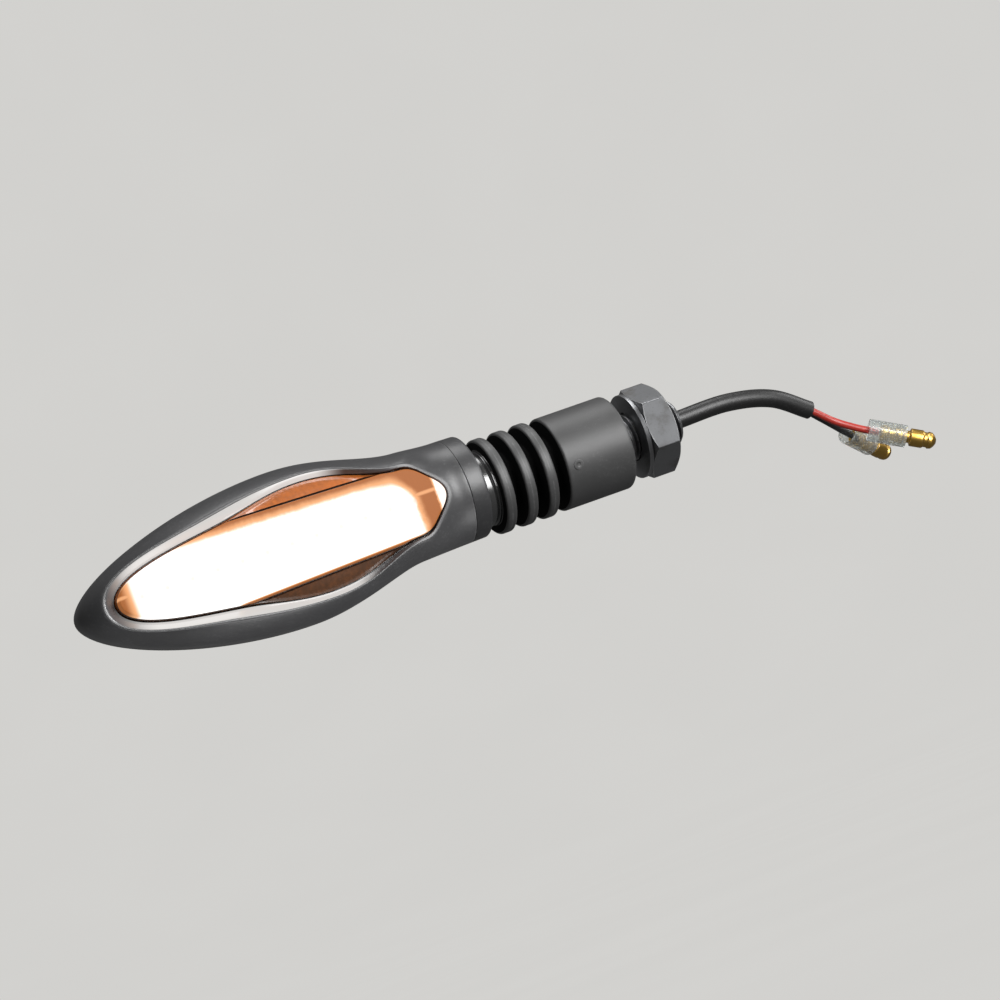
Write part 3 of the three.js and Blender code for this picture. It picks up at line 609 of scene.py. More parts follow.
def circuit_board():
    """Green solder mask with paler tracks beneath it."""
    material, tree = new_material("circuit_board")
    place = place_of(tree)
    axes = node(tree, "SeparateXYZ", {0: place})
    lines = calc(tree, "PINGPONG", axes.outputs["Z"], 1.1)
    bent_lines = plus(tree, lines, times(tree, noise(tree, place, 0.2, 1), 0.9))
    tracks = remap(tree, bent_lines, 0.95, 1.05, 1.0, 0.0)
    fine = noise(tree, place, 3.0, 4)
    body = mix_colours(tree, tracks, colour("#14402a"), colour("#2a6a44"))
    bump = bump_of(tree, plus(tree, tracks, times(tree, fine, 0.3)), 0.5, 0.03)
    return shaded(material, {
        "Base Color": body, "Roughness": remap(tree, fine, 0.3, 0.7, 0.25, 0.4), "Normal": bump,
    })


RUBBER = moulded("stalk_rubber", "#3a3a3a", 0.5, grain=2.6, grain_depth=0.02, light="#4c4c4c", wear=0.5)
# Groove walls and floors: rubber painted near black as shade in the grooves.
RUBBER_PAINTED_SHADE = moulded("groove_rubber_painted_shade", "#0d0d0d", 0.85, grain=2.6, light="#161616", wear=0.0, specular=0.1)
RUBBER_POLISHED = moulded("neck_rubber", "#2c2c2c", 0.22, grain=1.4, grain_depth=0.004, wear=0.1,
                          specular=0.8)
HOUSING = moulded("housing_plastic", "#333334", 0.4, grain=1.6, grain_depth=0.03, light="#505050", wear=0.4)
# Polished bevel, which also carries a painted white reflection of the bar as emission.
HOUSING_POLISHED_PAINTED_REFLECTION = polish_with_painted_reflection(
    moulded("bevel_plastic", "#38383a", 0.3, grain=2.0, grain_depth=0.004, wear=0.1, specular=0.6))
GASKET = moulded("gasket_rubber", "#161616", 0.8, grain=3.0)
CABLE = moulded("cable_sheath", "#141414", 0.45, grain=1.5, grain_depth=0.02, light="#2c2c2c")
WIRE_RED = moulded("wire_red", "#9c2a20", 0.4, grain=1.5, grain_depth=0.01)
WIRE_BLACK = moulded("wire_black", "#161616", 0.4, grain=1.5, grain_depth=0.01)
WHITE_PLASTIC = moulded("white_plastic", "#e4e2dc", 0.5, grain=2.0, shade=0.04)
CHIP_EPOXY = moulded("chip_epoxy", "#19191b", 0.55, grain=3.5)
TANTALUM = moulded("capacitor_case", "#b5852f", 0.45, grain=2.5)
LED_PHOSPHOR = moulded("led_phosphor", "#e8c86a", 0.35, grain=3.0, shade=0.08)
ZINC = metal("zinc_steel", "#8d8e90", 0.34, stretch=(6, 1, 1))
STUD_STEEL = metal("stud_steel", "#7d7e80", 0.36, stretch=(3, 1, 1))
SCREW_STEEL = metal("screw_steel", "#77787a", 0.36, stretch=(1, 5, 1))
BRASS = metal("terminal_brass", "#c09a4c", 0.28, stretch=(4, 1, 1), tarnish="#6e5224")
LENS_AMBER = lens_amber()
LENS_LIT = lens_lit()
# Walls and floor of the grooves in the lens, painted dark as shade.
LENS_GROOVE_PAINTED_SHADE = moulded("lens_groove_painted_shade", "#1c1512", 0.5, grain=3.0, grain_depth=0.01)
SLEEVE = clear_sleeve()
BOARD = circuit_board()


def keep(name, material):
    """CAD node that stays, with its own material."""
    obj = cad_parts[name]
    obj.data.materials.clear()
    obj.data.materials.append(material)


def lower(obj):
    """Moves a finished piece from the stalk's axis to its place in the part's frame."""
    obj.data.transform(Matrix.Translation((0, 0, AXIS_Z * MM)))


def settle(obj, body, slot, *nodes):
    """Piece that rides on a body and stands for CAD nodes."""
    lower(obj)
    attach(obj, body)
    if nodes:
        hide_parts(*nodes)
    return obj


# ---------------------------------------------------------------- rubber stalk

LIP = 0.5
ROOT = 0.55
NECK_LINE_AT = RIB_SPANS[1][0] - 0.95
MIDDLES = {rib: (span[0] + span[1]) / 2 for rib, span in RIB_SPANS.items()}

# Stretches of the stalk that give way, from the stud's side to the head's.
BENDS = [
    (BARREL_END - 0.2, RIB_SPANS[3][1] + 0.2),
    (RIB_SPANS[3][0] - 0.1, RIB_SPANS[2][1] + 0.1),
    (RIB_SPANS[2][0] - 0.1, RIB_SPANS[1][1] + 0.1),
    (RIB_SPANS[1][0] - 0.1, HEAD_START + 0.4),
]


def bend(obj, near, far, zone, slot, *nodes):
    """Stalk piece, lowered onto the part's axis with its placement baked in, which stands for CAD nodes."""
    lower(obj)
    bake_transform(obj)
    if nodes:
        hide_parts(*nodes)


def groove(start_radius, top, bottom, end_radius, far_round):
    """Corners and roundings of a groove between two edges, from the stud's side to the head's."""
    corners = [(top, start_radius), (top, CORE_RADIUS), (bottom, CORE_RADIUS), (bottom, end_radius)]
    return corners, [LIP, ROOT, ROOT, far_round]


def rubber_zone(x, radius):
    """Material number: 1 in the grooves, which are painted near black as shade, 2 on the polished neck and 0
    elsewhere.
    """
    if x < RIB_SPANS[1][0] - 0.05 and radius > 7:
        return 2
    return 1 if x < BARREL_END + 0.3 and radius < RIB_RADIUS - 0.6 else 0


def stalk_piece(name, head_side, stud_side, outside, roundings, inside):
    """Ring of rubber between two cut faces: outside runs from the stud's side to the head's."""
    start, end = (stud_side, outside[0][1]), (head_side, outside[-1][1])
    skin = fillet([start, *outside[1:-1], end], roundings)
    path = densify([*skin, *inside], 0.42)
    following = path[1:] + path[:1]
    zones = [rubber_zone((a[0] + b[0]) / 2, (a[1] + b[1]) / 2) for a, b in zip(path, following)]
    return turned(name, path, [RUBBER, RUBBER_PAINTED_SHADE, RUBBER_POLISHED], zones=zones)


def rubber_pieces():
    corners, rounds = groove(BARREL_RADIUS, BARREL_END, RIB_SPANS[3][1], RIB_RADIUS, LIP)
    pocket = ANCHOR_RADIUS + RUBBER_SLACK
    hole = STUD_RADIUS + RUBBER_SLACK
    barrel = stalk_piece(
        "rubber_stalk_1", MIDDLES[3], 0.0,
        [(0, hole), (0, BARREL_RADIUS), *corners, (MIDDLES[3], RIB_RADIUS)], [0.6, *rounds],
        [(MIDDLES[3], STALK_BORE_RADIUS), (ANCHOR_FROM - RUBBER_SLACK, STALK_BORE_RADIUS),
         (ANCHOR_FROM - RUBBER_SLACK, pocket), (ANCHOR_TO + RUBBER_SLACK, pocket),
         (ANCHOR_TO + RUBBER_SLACK, hole)])
    bend(barrel, "mount", "rib_3", BENDS[0], "stalk_rubber", "rubber_barrel")
    for rib, near, far, zone in ((3, "rib_3", "rib_2", BENDS[1]), (2, "rib_2", "rib_1", BENDS[2])):
        corners, rounds = groove(RIB_RADIUS, RIB_SPANS[rib][0], RIB_SPANS[rib - 1][1], RIB_RADIUS, LIP)
        ring = stalk_piece(
            f"rubber_stalk_{5 - rib}", MIDDLES[rib - 1], MIDDLES[rib],
            [(MIDDLES[rib], RIB_RADIUS), *corners, (MIDDLES[rib - 1], RIB_RADIUS)], rounds,
            [(MIDDLES[rib - 1], STALK_BORE_RADIUS), (MIDDLES[rib], STALK_BORE_RADIUS)])
        bend(ring, near, far, zone, "stalk_rubber", f"flex_rib_{rib}")
    wall = RIB_SPANS[1][0]
    waist_from, waist_to = HEAD_START - 1.6, HEAD_START - 3.6
    neck = stalk_piece(
        "rubber_stalk_4", NECK_END, MIDDLES[1],
        [(MIDDLES[1], RIB_RADIUS), (wall, RIB_RADIUS), (wall, NECK_RADIUS),
         (NECK_LINE_AT + 0.3, NECK_RADIUS), (NECK_LINE_AT, NECK_RADIUS - 0.4),
         (NECK_LINE_AT - 0.3, NECK_RADIUS),
         (waist_from, NECK_RADIUS), (waist_from, NECK_WAIST_RADIUS),
         (waist_to, NECK_WAIST_RADIUS), (waist_to, NECK_BEAD_RADIUS), (NECK_END, NECK_BEAD_RADIUS),
         (NECK_END, STALK_BORE_RADIUS)],
        [LIP, 0.2, 0.3, 0, 0.3, 0.3, 0.2, 0.2, 0.3, 0.5],
        [(MIDDLES[1], STALK_BORE_RADIUS)])
    bend(neck, "rib_1", "head", BENDS[3], "stalk_rubber", "flex_rib_1", "rubber_neck")


def mould_pip():
    """Small round mark of the mould on the barrel's front."""
    x, up = BARREL_END + 2.6, -2.6
    depth = math.sqrt(BARREL_RADIUS ** 2 - up ** 2)
    path = fillet([(-0.6, 1.1), (0.12, 1.1), (0.12, 0.55), (0.02, 0.3), (0.02, 0.001)], [0.1, 0.08, 0.1], 4)
    pip = turned("mould_pip", path, RUBBER, 32, closed=False)
    direction = Vector((0, -depth, up)).normalized()
    turn = Vector((1, 0, 0)).rotation_difference(direction).to_matrix().to_4x4()
    place = Matrix.Translation(Vector((x, -depth, up)) * MM)
    pip.data.transform(place @ turn)
    settle(pip, "mount", "stalk_rubber")


def cable_core():
    """Cable inside the stalk, cut where the rubber is cut."""
    start = SHEATH_PATH[0][0] - 0.3
    end = box_mm("cable_flex")[0][0]
    cuts = [start, MIDDLES[3], MIDDLES[2], MIDDLES[1], end]
    bodies = ["mount", "rib_3", "rib_2", "rib_1", "head"]
    for k, zone in enumerate(BENDS):
        path = densify([(cuts[k], CABLE_RADIUS), (cuts[k + 1], CABLE_RADIUS)], 0.4, closed=False)
        core = turned(f"cable_core_{k + 1}", path, CABLE, 32, closed=False)
        bend(core, bodies[k], bodies[k + 1], zone, "cable", *(["cable_flex"] if k == 0 else []))


# ---------------------------------------------------------------- stud, washer and nut


def threaded_rod(name, radius, start, end, material):
    """Rod whose rows follow the helix. Its stepped ends are to be cut off."""
    root = radius - THREAD_DEPTH
    rows_of_pitch = [(0, radius), (1 / 8, radius), (7 / 16, root), (11 / 16, root)]
    per_pitch = len(rows_of_pitch)
    turns = math.ceil((end - start) / THREAD_PITCH) + 2
    first = math.floor(start / THREAD_PITCH) - 1
    rows = turns * per_pitch
    points, faces = [], []
    for i in range(THREAD_FACETS):
        angle = 2 * math.pi * i / THREAD_FACETS
        for k in range(rows + 1):
            share, r = rows_of_pitch[k % per_pitch]
            turn = first + k // per_pitch + share + i / THREAD_FACETS
            points.append((turn * THREAD_PITCH, r * math.cos(angle), r * math.sin(angle)))

    def at(i, k):
        return i * (rows + 1) + k

    for i in range(THREAD_FACETS):
        wraps = i == THREAD_FACETS - 1
        shift, following = (per_pitch, 0) if wraps else (0, i + 1)
        for k in range(rows - shift):
            faces.append((at(i, k), at(i, k + 1), at(following, k + 1 + shift), at(following, k + shift)))
    last = THREAD_FACETS - 1
    start_loop = [at(i, 0) for i in range(THREAD_FACETS)]
    start_loop += [at(0, per_pitch - k) for k in range(per_pitch)]
    end_loop = [at(i, rows) for i in range(THREAD_FACETS)]
    end_loop += [at(last, rows - 1 - k) for k in range(per_pitch)]
    for x, loop in ((points[0][0], start_loop), (points[rows][0], end_loop)):
        points.append((x, 0, 0))
        centre = len(points) - 1
        faces += [(centre, a, b) for a, b in zip(loop, loop[1:] + loop[:1])]
    return make_object(name, points, faces, material, sharp=25)


def threaded_stud():
    thread_start, chamfer = 0.6, 0.8
    rod = threaded_rod("threaded_stud_shape", STUD_RADIUS, thread_start - THREAD_PITCH,
                       STUD_END + THREAD_PITCH, STUD_STEEL)
    limit = plug("limit", [
        (thread_start, STUD_RADIUS - THREAD_DEPTH), (thread_start + THREAD_DEPTH, STUD_RADIUS + 0.01),
        (STUD_END - chamfer, STUD_RADIUS + 0.01), (STUD_END, STUD_RADIUS - chamfer),
    ], STUD_STEEL)
    combine(rod, limit, "INTERSECT", 25)
    shank = turned("shank", fillet([
        (ANCHOR_FROM, ON_AXIS), (ANCHOR_FROM, ANCHOR_RADIUS),
        (ANCHOR_TO, ANCHOR_RADIUS), (ANCHOR_TO, STUD_RADIUS),
        (thread_start + 0.2, STUD_RADIUS), (thread_start + 0.2, ON_AXIS),
    ], [0.3, 0.3, 0.2, 0.1]), STUD_STEEL, closed=False)
    combine(rod, shank, "UNION", 25)
    bore = plug("bore", [
        (ANCHOR_FROM - 1, STUD_BORE_RADIUS), (STUD_END - 0.4, STUD_BORE_RADIUS),
        (STUD_END + 0.4, STUD_BORE_RADIUS + 0.8),
    ], STUD_STEEL, 48)
    combine(rod, bore, "DIFFERENCE", 25)
    rod.name = "hollow_stud"
    return settle(rod, "mount", "zinc_steel", "threaded_stud")


def washer():
    path = fillet([
        (WASHER_FROM, 7), (WASHER_FROM, WASHER_RADIUS), (WASHER_TO, WASHER_RADIUS),
        (WASHER_TO, WASHER_BORE), (WASHER_FROM, WASHER_BORE), (WASHER_FROM, 7),
    ], [0.12, 0.28, 0.1, 0.1], 4)[:-1]
    return settle(turned("plain_washer", path, ZINC), "washer", "zinc_steel", "flat_washer")


def hexagon(radius, rounding):
    corners = [(radius * math.cos(math.pi * i / 3), radius * math.sin(math.pi * i / 3)) for i in range(-1, 7)]
    return fillet(corners, [rounding] * 6, 4)[1:-1]


def hex_nut():
    corner_radius = NUT_ACROSS_FLATS / math.sqrt(3)
    outline = np.array(hexagon(corner_radius, 0.35))[:, ::-1]
    rings = [np.column_stack([np.full(len(outline), x), outline]) for x in (NUT_FROM, NUT_TO)]
    nut = ring_mesh("plain_nut", rings, ZINC)
    face_radius = NUT_ACROSS_FLATS / 2 - 0.3
    slope = (corner_radius + 0.5 - face_radius) * math.tan(math.pi / 6)
    blank = plug("blank", [
        (NUT_FROM, face_radius), (NUT_FROM + slope, corner_radius + 0.5),
        (NUT_TO - slope, corner_radius + 0.5), (NUT_TO, face_radius),
    ], ZINC, 128)
    combine(nut, blank, "INTERSECT", 20)
    thread = threaded_rod("thread", STUD_RADIUS + NUT_CLEARANCE, NUT_FROM - THREAD_PITCH,
                          NUT_TO + THREAD_PITCH, STUD_STEEL)
    combine(nut, thread, "DIFFERENCE", 20)
    mouth, countersink = STUD_RADIUS + NUT_CLEARANCE + 0.3, 0.7
    for end, inwards in ((NUT_FROM, 1), (NUT_TO, -1)):
        cone = plug("cone", [
            (end - inwards, mouth + 1), (end + inwards * countersink, mouth - countersink),
        ], STUD_STEEL)
        combine(nut, cone, "DIFFERENCE", 20)
    return settle(nut, "nut", "zinc_steel", "hex_nut")


# ---------------------------------------------------------------- cable, wires and terminals


def cable_sheath():
    """Sheath whose last stretch is hollow, so that the wires come out of it."""
    path = catmull_rom(SHEATH_PATH, 16)
    mouth_depth = 9
    inner = CABLE_RADIUS - SHEATH_WALL
    back = path[::-1][:mouth_depth]
    centres = [path[0], *path, path[-1], path[-1], *back, back[-1]]
    radii = [CABLE_RADIUS - 0.15, *[CABLE_RADIUS] * len(path), CABLE_RADIUS - 0.1, inner + 0.1,
             *[inner] * len(back), ON_AXIS]
    centres[0] = path[0] - np.array([0.15, 0, 0])
    sheath = tube("cable_outer_sheath", centres, radii, CABLE)
    settle(sheath, "mount", "cable", "cable_sheath")


def wires():
    for name, points in WIRE_PATHS.items():
        path = catmull_rom(points, 12)
        start = path[0] - (path[1] - path[0]) / np.linalg.norm(path[1] - path[0]) * 2.2
        path = np.vstack([start, path])
        material, slot = (WIRE_RED, "wire_red") if name == "positive" else (WIRE_BLACK, "wire_black")
        wire = tube(f"lead_wire_{name}", path, [WIRE_RADIUS] * len(path), material, 20)
        settle(wire, "mount", slot, f"wire_{name}")
        direction = Vector(np.subtract(points[-1], points[-2])).normalized()
        turn = Vector((1, 0, 0)).rotation_difference(direction).to_matrix().to_4x4()
        place = Matrix.Translation((Vector(points[-1]) + direction * 0.3) * MM) @ turn
        terminal(name, place)


def terminal(name, place):
    """Crimped bullet terminal and its clear sleeve, pointing along X before they are placed."""
    path = fillet([
        (0, ON_AXIS), (0, 1.62), (1.5, 1.62), (1.9, 1.38), (3.2, 1.38), (3.6, 1.66), (4.7, 1.66), (5, 1.3),
        (6.2, 1.3), (6.5, 1.9), (9, 1.9), (9.4, 1.6), (10, 1.6), (10.3, 1.82), (11, 1.7), (11.55, 1.2),
        (11.95, 0.5), (11.95, ON_AXIS),
    ], [0.12, 0.15, 0.15, 0.15, 0.15, 0.15, 0.1, 0.1, 0.12, 0.12, 0.1, 0.1, 0.1, 0.2, 0.3, 0.2], 3)
    bullet = turned(f"bullet_{name}", path, BRASS, 40, closed=False)
    bullet.data.transform(place)
    settle(bullet, "mount", "brass", f"bullet_terminal_{name}")
    wall = fillet([
        (1, 2.05), (-2.55, 2.05), (-2.55, 2.38), (5.55, 2.38), (5.55, 2.05), (1, 2.05),
    ], [0.08, 0.15, 0.15, 0.08], 3)[:-1]
    sleeve = turned(f"sleeve_{name}", densify(wall, 0.8), SLEEVE, 40)
    sleeve.data.transform(place)
    settle(sleeve, "mount", "clear_sleeve", f"terminal_sleeve_{name}")


# ---------------------------------------------------------------- plan outlines of the head

STEPS = {"end": 20, "corner": 14, "swell": 26, "shoulder": 20, "tip": 34}


def cubic(a, b, c, d, count):
    t = np.linspace(0, 1, count + 1)[:, None]
    a, b, c, d = (np.array(p, float) for p in (a, b, c, d))
    return a * (1 - t) ** 3 + 3 * b * t * (1 - t) ** 2 + 3 * c * t * t * (1 - t) + d * t ** 3


def stretches(knots, steps):
    """Points of cubic stretches that share their end knots, as (along, up) pairs."""
    parts = []
    for n, count in enumerate(steps):
        part = cubic(*knots[3 * n:3 * n + 4], count)
        parts.append(part if n == 0 else part[1:])
    return np.vstack(parts)


def mirrored(half):
    below = half[1:-1][::-1] * [1, -1]
    return np.vstack([half, below])


def outline_loop():
    angles = np.arange(STEPS["end"]) / STEPS["end"] * math.pi / 2
    neck = np.column_stack([np.full(len(angles), HOUSING_START), HOUSING_RADIUS * np.sin(angles)])
    side = stretches([
        (HOUSING_START, HOUSING_RADIUS), (8, 11.05), (11.5, 11.2),
        (15, 11.35), (22, 11.85), (30, WIDEST_HALF_HEIGHT),
        (WIDEST_AT, WIDEST_HALF_HEIGHT), (63, WIDEST_HALF_HEIGHT), (HEAD_LENGTH, 7), (HEAD_LENGTH, 0),
    ], [STEPS["corner"], STEPS["swell"], STEPS["shoulder"] + STEPS["tip"]])
    return mirrored(np.vstack([neck, side]))


CREST_KNOTS = [
    (7.9, 0), (7.9, 1.6), (8.6, 2.9),
    (10.2, 4.4), (12.8, 6.85), (13.7, 8.25),
    (17.2, 8.3), (23.5, 8.6), (28, 13),
    (38, 13), (46, 13), (52, 12),
    (58, 10.9), (68, 9), (84, 7.6), (84, 0),
]
OPENING_KNOTS = [
    (8.6, 0), (8.6, 1.3), (9.3, 2.4),
    (10.8, 3.8), (13.4, 6.2), (14.2, 7.45),
    (17.2, 7.5), (23.5, 7.8), (28, 11.6),
    (38, 11.6), (45, 11.6), (50, 9.8),
    (56, 8.9), (66, 7.4), (81.5, 6.2), (81.5, 0),
]
OUTLINE = outline_loop()
CREST = mirrored(stretches(CREST_KNOTS, list(STEPS.values())))
OPENING = mirrored(stretches(OPENING_KNOTS, list(STEPS.values())))


def inset(loop, distance):
    """Loop moved inwards by a distance, square to its edges."""
    before, after = np.roll(loop, 1, axis=0), np.roll(loop, -1, axis=0)
    along = after - before
    along /= np.linalg.norm(along, axis=1)[:, None]
    step = loop - before
    step /= np.linalg.norm(step, axis=1)[:, None]
    spread = np.maximum((along * step).sum(axis=1), 0.7)[:, None]
    return loop + np.column_stack([along[:, 1], -along[:, 0]]) * distance / spread


def flattened_to_bar(loop, distance):
    """Loop held inside the bar's tapered top and bottom edges, drawn in by a distance."""
    limit = BAR_START_HALF_HEIGHT + BAR_TAPER * (loop[:, 0] - BAR_START) - distance
    return np.column_stack([loop[:, 0], np.clip(loop[:, 1], -limit, limit)])


def smoothstep(x, low, high):
    t = np.clip((x - low) / (high - low), 0, 1)
    return t * t * (3 - 2 * t)


def tip_drop(along):
    return 1.5 * np.maximum((along - 60) / (HEAD_LENGTH - 60), 0) ** 2


def at(loop, depth):
    """Ring of (along, depth, up) points over a loop."""
    depth = depth(loop) if callable(depth) else np.full(len(loop), float(depth))
    return np.column_stack([loop[:, 0], depth, loop[:, 1]])


def front_depth(level):
    """Depth that is round like the neck at its start and takes the rim's own level further on."""
    def depth(loop):
        across = np.sqrt(np.maximum(HOUSING_RADIUS ** 2 - loop[:, 1] ** 2, 0))
        share = smoothstep(loop[:, 0], HOUSING_START, 15)
        return across + (level - tip_drop(loop[:, 0]) - across) * share
    return depth


def level_under_tip(depth):
    return lambda loop: depth - tip_drop(loop[:, 0])


def shrunk(loop, along, across):
    """Loop drawn in for a hollow, with a wall left standing at the neck end."""
    beyond = np.maximum(loop[:, 0] - WIDEST_AT, 0)
    shorter = np.maximum(loop[:, 0] - beyond * (1 - along), HOUSING_START + WALL)
    return np.column_stack([shorter, loop[:, 1] * across])


def blend_rings(a, b, share):
    return a + (b - a) * share


def bead_pocket(reach):
    """Tool that opens the neck end round the rubber bead."""
    radius = NECK_BEAD_RADIUS + 0.5
    mouth = HEAD_START - HOUSING_START + 1
    return plug("pocket", [(mouth, radius), (HEAD_START - reach, radius)], HOUSING, 64)


def depth_tool(name, along, up, radius, low, high, material, segments=32):
    """Round tool along the head's depth."""
    return cylinder(name, 1, (HEAD_START - along, HEAD_RISE + up), radius, -high, -low, material, segments)


# ---------------------------------------------------------------- housing


def front_bezel():
    side = catmull_rom([(0, 0.15), (0.04, 4.6), (0.35, 7.4), (0.75, 9.6), (1.0, 10.6)], 6)
    side = np.maximum(side[side[:, 0] <= 0.9], 0)
    rings = [at(inset(OUTLINE, SEAM_CHAMFER), 0), at(OUTLINE, SEAM_CHAMFER)]
    rings += [at(blend_rings(OUTLINE, CREST, share), front_depth(level)) for share, level in side[1:]]
    crest = at(CREST, front_depth(RIM_DEPTH))
    bevel = BEVEL_DROP * smoothstep(OPENING[:, 0], 15, 30)
    lip = at(OPENING, front_depth(RIM_DEPTH))
    lip[:, 1] -= bevel
    before, after = blend_rings(rings[-1], crest, 0.3), blend_rings(crest, lip, 0.3)
    for t in np.linspace(0, 1, 6):
        rings.append(before * (1 - t) ** 2 + crest * 2 * t * (1 - t) + after * t * t)
    bevel_start = len(rings) - 2
    outer_lip = at(inset(OPENING, -0.15), 0)
    outer_lip[:, 1] = blend_rings(crest, lip, 0.93)[:, 1]
    rings += [blend_rings(crest, outer_lip, share) for share in (0.55, 0.8, 1.0)]
    inner_lip = at(OPENING, 0)
    inner_lip[:, 1] = outer_lip[:, 1] - 0.15
    ledge_edge = inset(OPENING, LEDGE_WIDTH)
    rings += [
        inner_lip, at(OPENING, LEDGE_DEPTH + 0.8), at(OPENING, LEDGE_DEPTH),
        at(ledge_edge, LEDGE_DEPTH), at(ledge_edge, LEDGE_DEPTH - 1.2),
        at(shrunk(OUTLINE, 0.93, 0.78), 3.5), at(shrunk(OUTLINE, 0.96, 0.85), 0),
    ]
    # Zone 1 is the polished bevel with the painted reflection of the bar.
    zones = [1 if bevel_start <= k <= bevel_start + 4 else 0 for k in range(len(rings))]
    bezel = ring_mesh("bezel", [to_frame(r) for r in rings], [HOUSING, HOUSING_POLISHED_PAINTED_REFLECTION], zones, True, 40)
    combine(bezel, bead_pocket(HOUSING_START + WALL + 0.2), "DIFFERENCE", 40)
    return settle(bezel, "head", "housing", "front_bezel")


def hull_rings(loop, depth, last_angle, levels):
    """Quarter ellipses behind the parting plane, which close on the line of the back."""
    rings = []
    for angle in np.linspace(0, math.radians(last_angle), levels + 1):
        reach = math.cos(angle)
        beyond = np.maximum(loop[:, 0] - WIDEST_AT, 0)
        ring = np.column_stack([loop[:, 0] - beyond * (1 - reach), loop[:, 1] * reach])
        rings.append(at(ring, -depth * math.sin(angle)))
    return rings


def rear_shell():
    outside = hull_rings(OUTLINE, HOUSING_RADIUS, 85, 22)
    inner = shrunk(OUTLINE, 0.96, 0.85)
    inside = hull_rings(inner, HOUSING_RADIUS - WALL, 85, 10)
    outside[0][:, 1] = -SEAM_CHAMFER
    rings = [*outside[::-1], at(inset(OUTLINE, SEAM_CHAMFER), 0), *inside]
    shell = ring_mesh("back_shell", [to_frame(r) for r in rings], HOUSING, sharp=40)
    for along, up in SCREW_PLACES:
        stand = depth_tool("stand", along, up, STAND_RADIUS, SCREW_SEAT - 1.6, BOARD_BACK, HOUSING)
        combine(shell, stand, "UNION", 40)
        hole, head = SCREW_RADIUS + SCREW_SLACK, SCREW_HEAD_RADIUS + SCREW_SLACK
        recess = plug("recess", [
            (-SCREW_SEAT - 12.5, hole), (-SCREW_SEAT - SCREW_SLACK, hole),
            (-SCREW_SEAT + SCREW_HEAD_HEIGHT, head), (14, head),
        ], HOUSING, 40)
        recess.data.transform(stand_along_depth(along, up))
        combine(shell, recess, "DIFFERENCE", 40)
    combine(shell, bead_pocket(HOUSING_START + WALL + 0.2), "DIFFERENCE", 40)
    smooth_normals(shell)
    settle(shell, "head", "housing", "rear_shell")


def stand_along_depth(along, up):
    """Placement that turns a shape made along X to face the back of the head at (along, up)."""
    place = Matrix.Translation(Vector((HEAD_START - along, 0, HEAD_RISE + up)) * MM)
    return place @ Matrix.Rotation(math.pi / 2, 4, "Z")


def collar():
    """Ring between neck and housing. Its mouth is round the stalk, which sits below the head's middle."""
    path = fillet([
        (0, 9), (0, COLLAR_RADIUS), (COLLAR_WIDTH, HOUSING_RADIUS), (COLLAR_WIDTH, 7.5), (3.4, 7.5),
        (3.4, 6.4), (1.75, 6.4), (1.75, NECK_RADIUS + 0.15), (0, NECK_RADIUS + 0.15), (0, 9),
    ], [0.5, 0.15, 0.1, 0, 0.1, 0.1, 0.1, 0.25])[:-1]
    path = [(HEAD_START - s, r) for s, r in densify(path, 1.2)]

    def centre(_, radius):
        return HEAD_RISE if radius > 8.6 else 0.0

    ring = turned("collar_ring", path, HOUSING, 128, centre=centre)
    settle(ring, "head", "housing", "neck_collar")


def shell_screws():
    for number, (along, up) in enumerate(SCREW_PLACES, 1):
        top = -SCREW_SEAT + SCREW_HEAD_HEIGHT
        path = fillet([
            (-SCREW_SEAT - SCREW_LENGTH, ON_AXIS), (-SCREW_SEAT - SCREW_LENGTH + 0.6, SCREW_RADIUS),
            (-SCREW_SEAT, SCREW_RADIUS), (top - 0.15, SCREW_HEAD_RADIUS),
            (top, SCREW_HEAD_RADIUS - 0.1), (top, ON_AXIS),
        ], [0.1, 0.1, 0.1, 0.08])
        screw = turned(f"cross_screw_{number}", path, SCREW_STEEL, 48, closed=False)
        for turn in (0, 90):
            arm = ring_mesh("arm", [
                [(x, y * 1.25, z * 0.24) for y, z in ((-1, -1), (1, -1), (1, 1), (-1, 1))]
                for x in (top - 0.6, top + 1)
            ], SCREW_STEEL)
            arm.data.transform(Matrix.Rotation(math.radians(turn + 20 * number), 4, "X"))
            combine(screw, arm, "DIFFERENCE")
        screw.data.transform(stand_along_depth(along, up))
        settle(screw, "head", "screw_steel", f"shell_screw_{number}")


# ---------------------------------------------------------------- lens


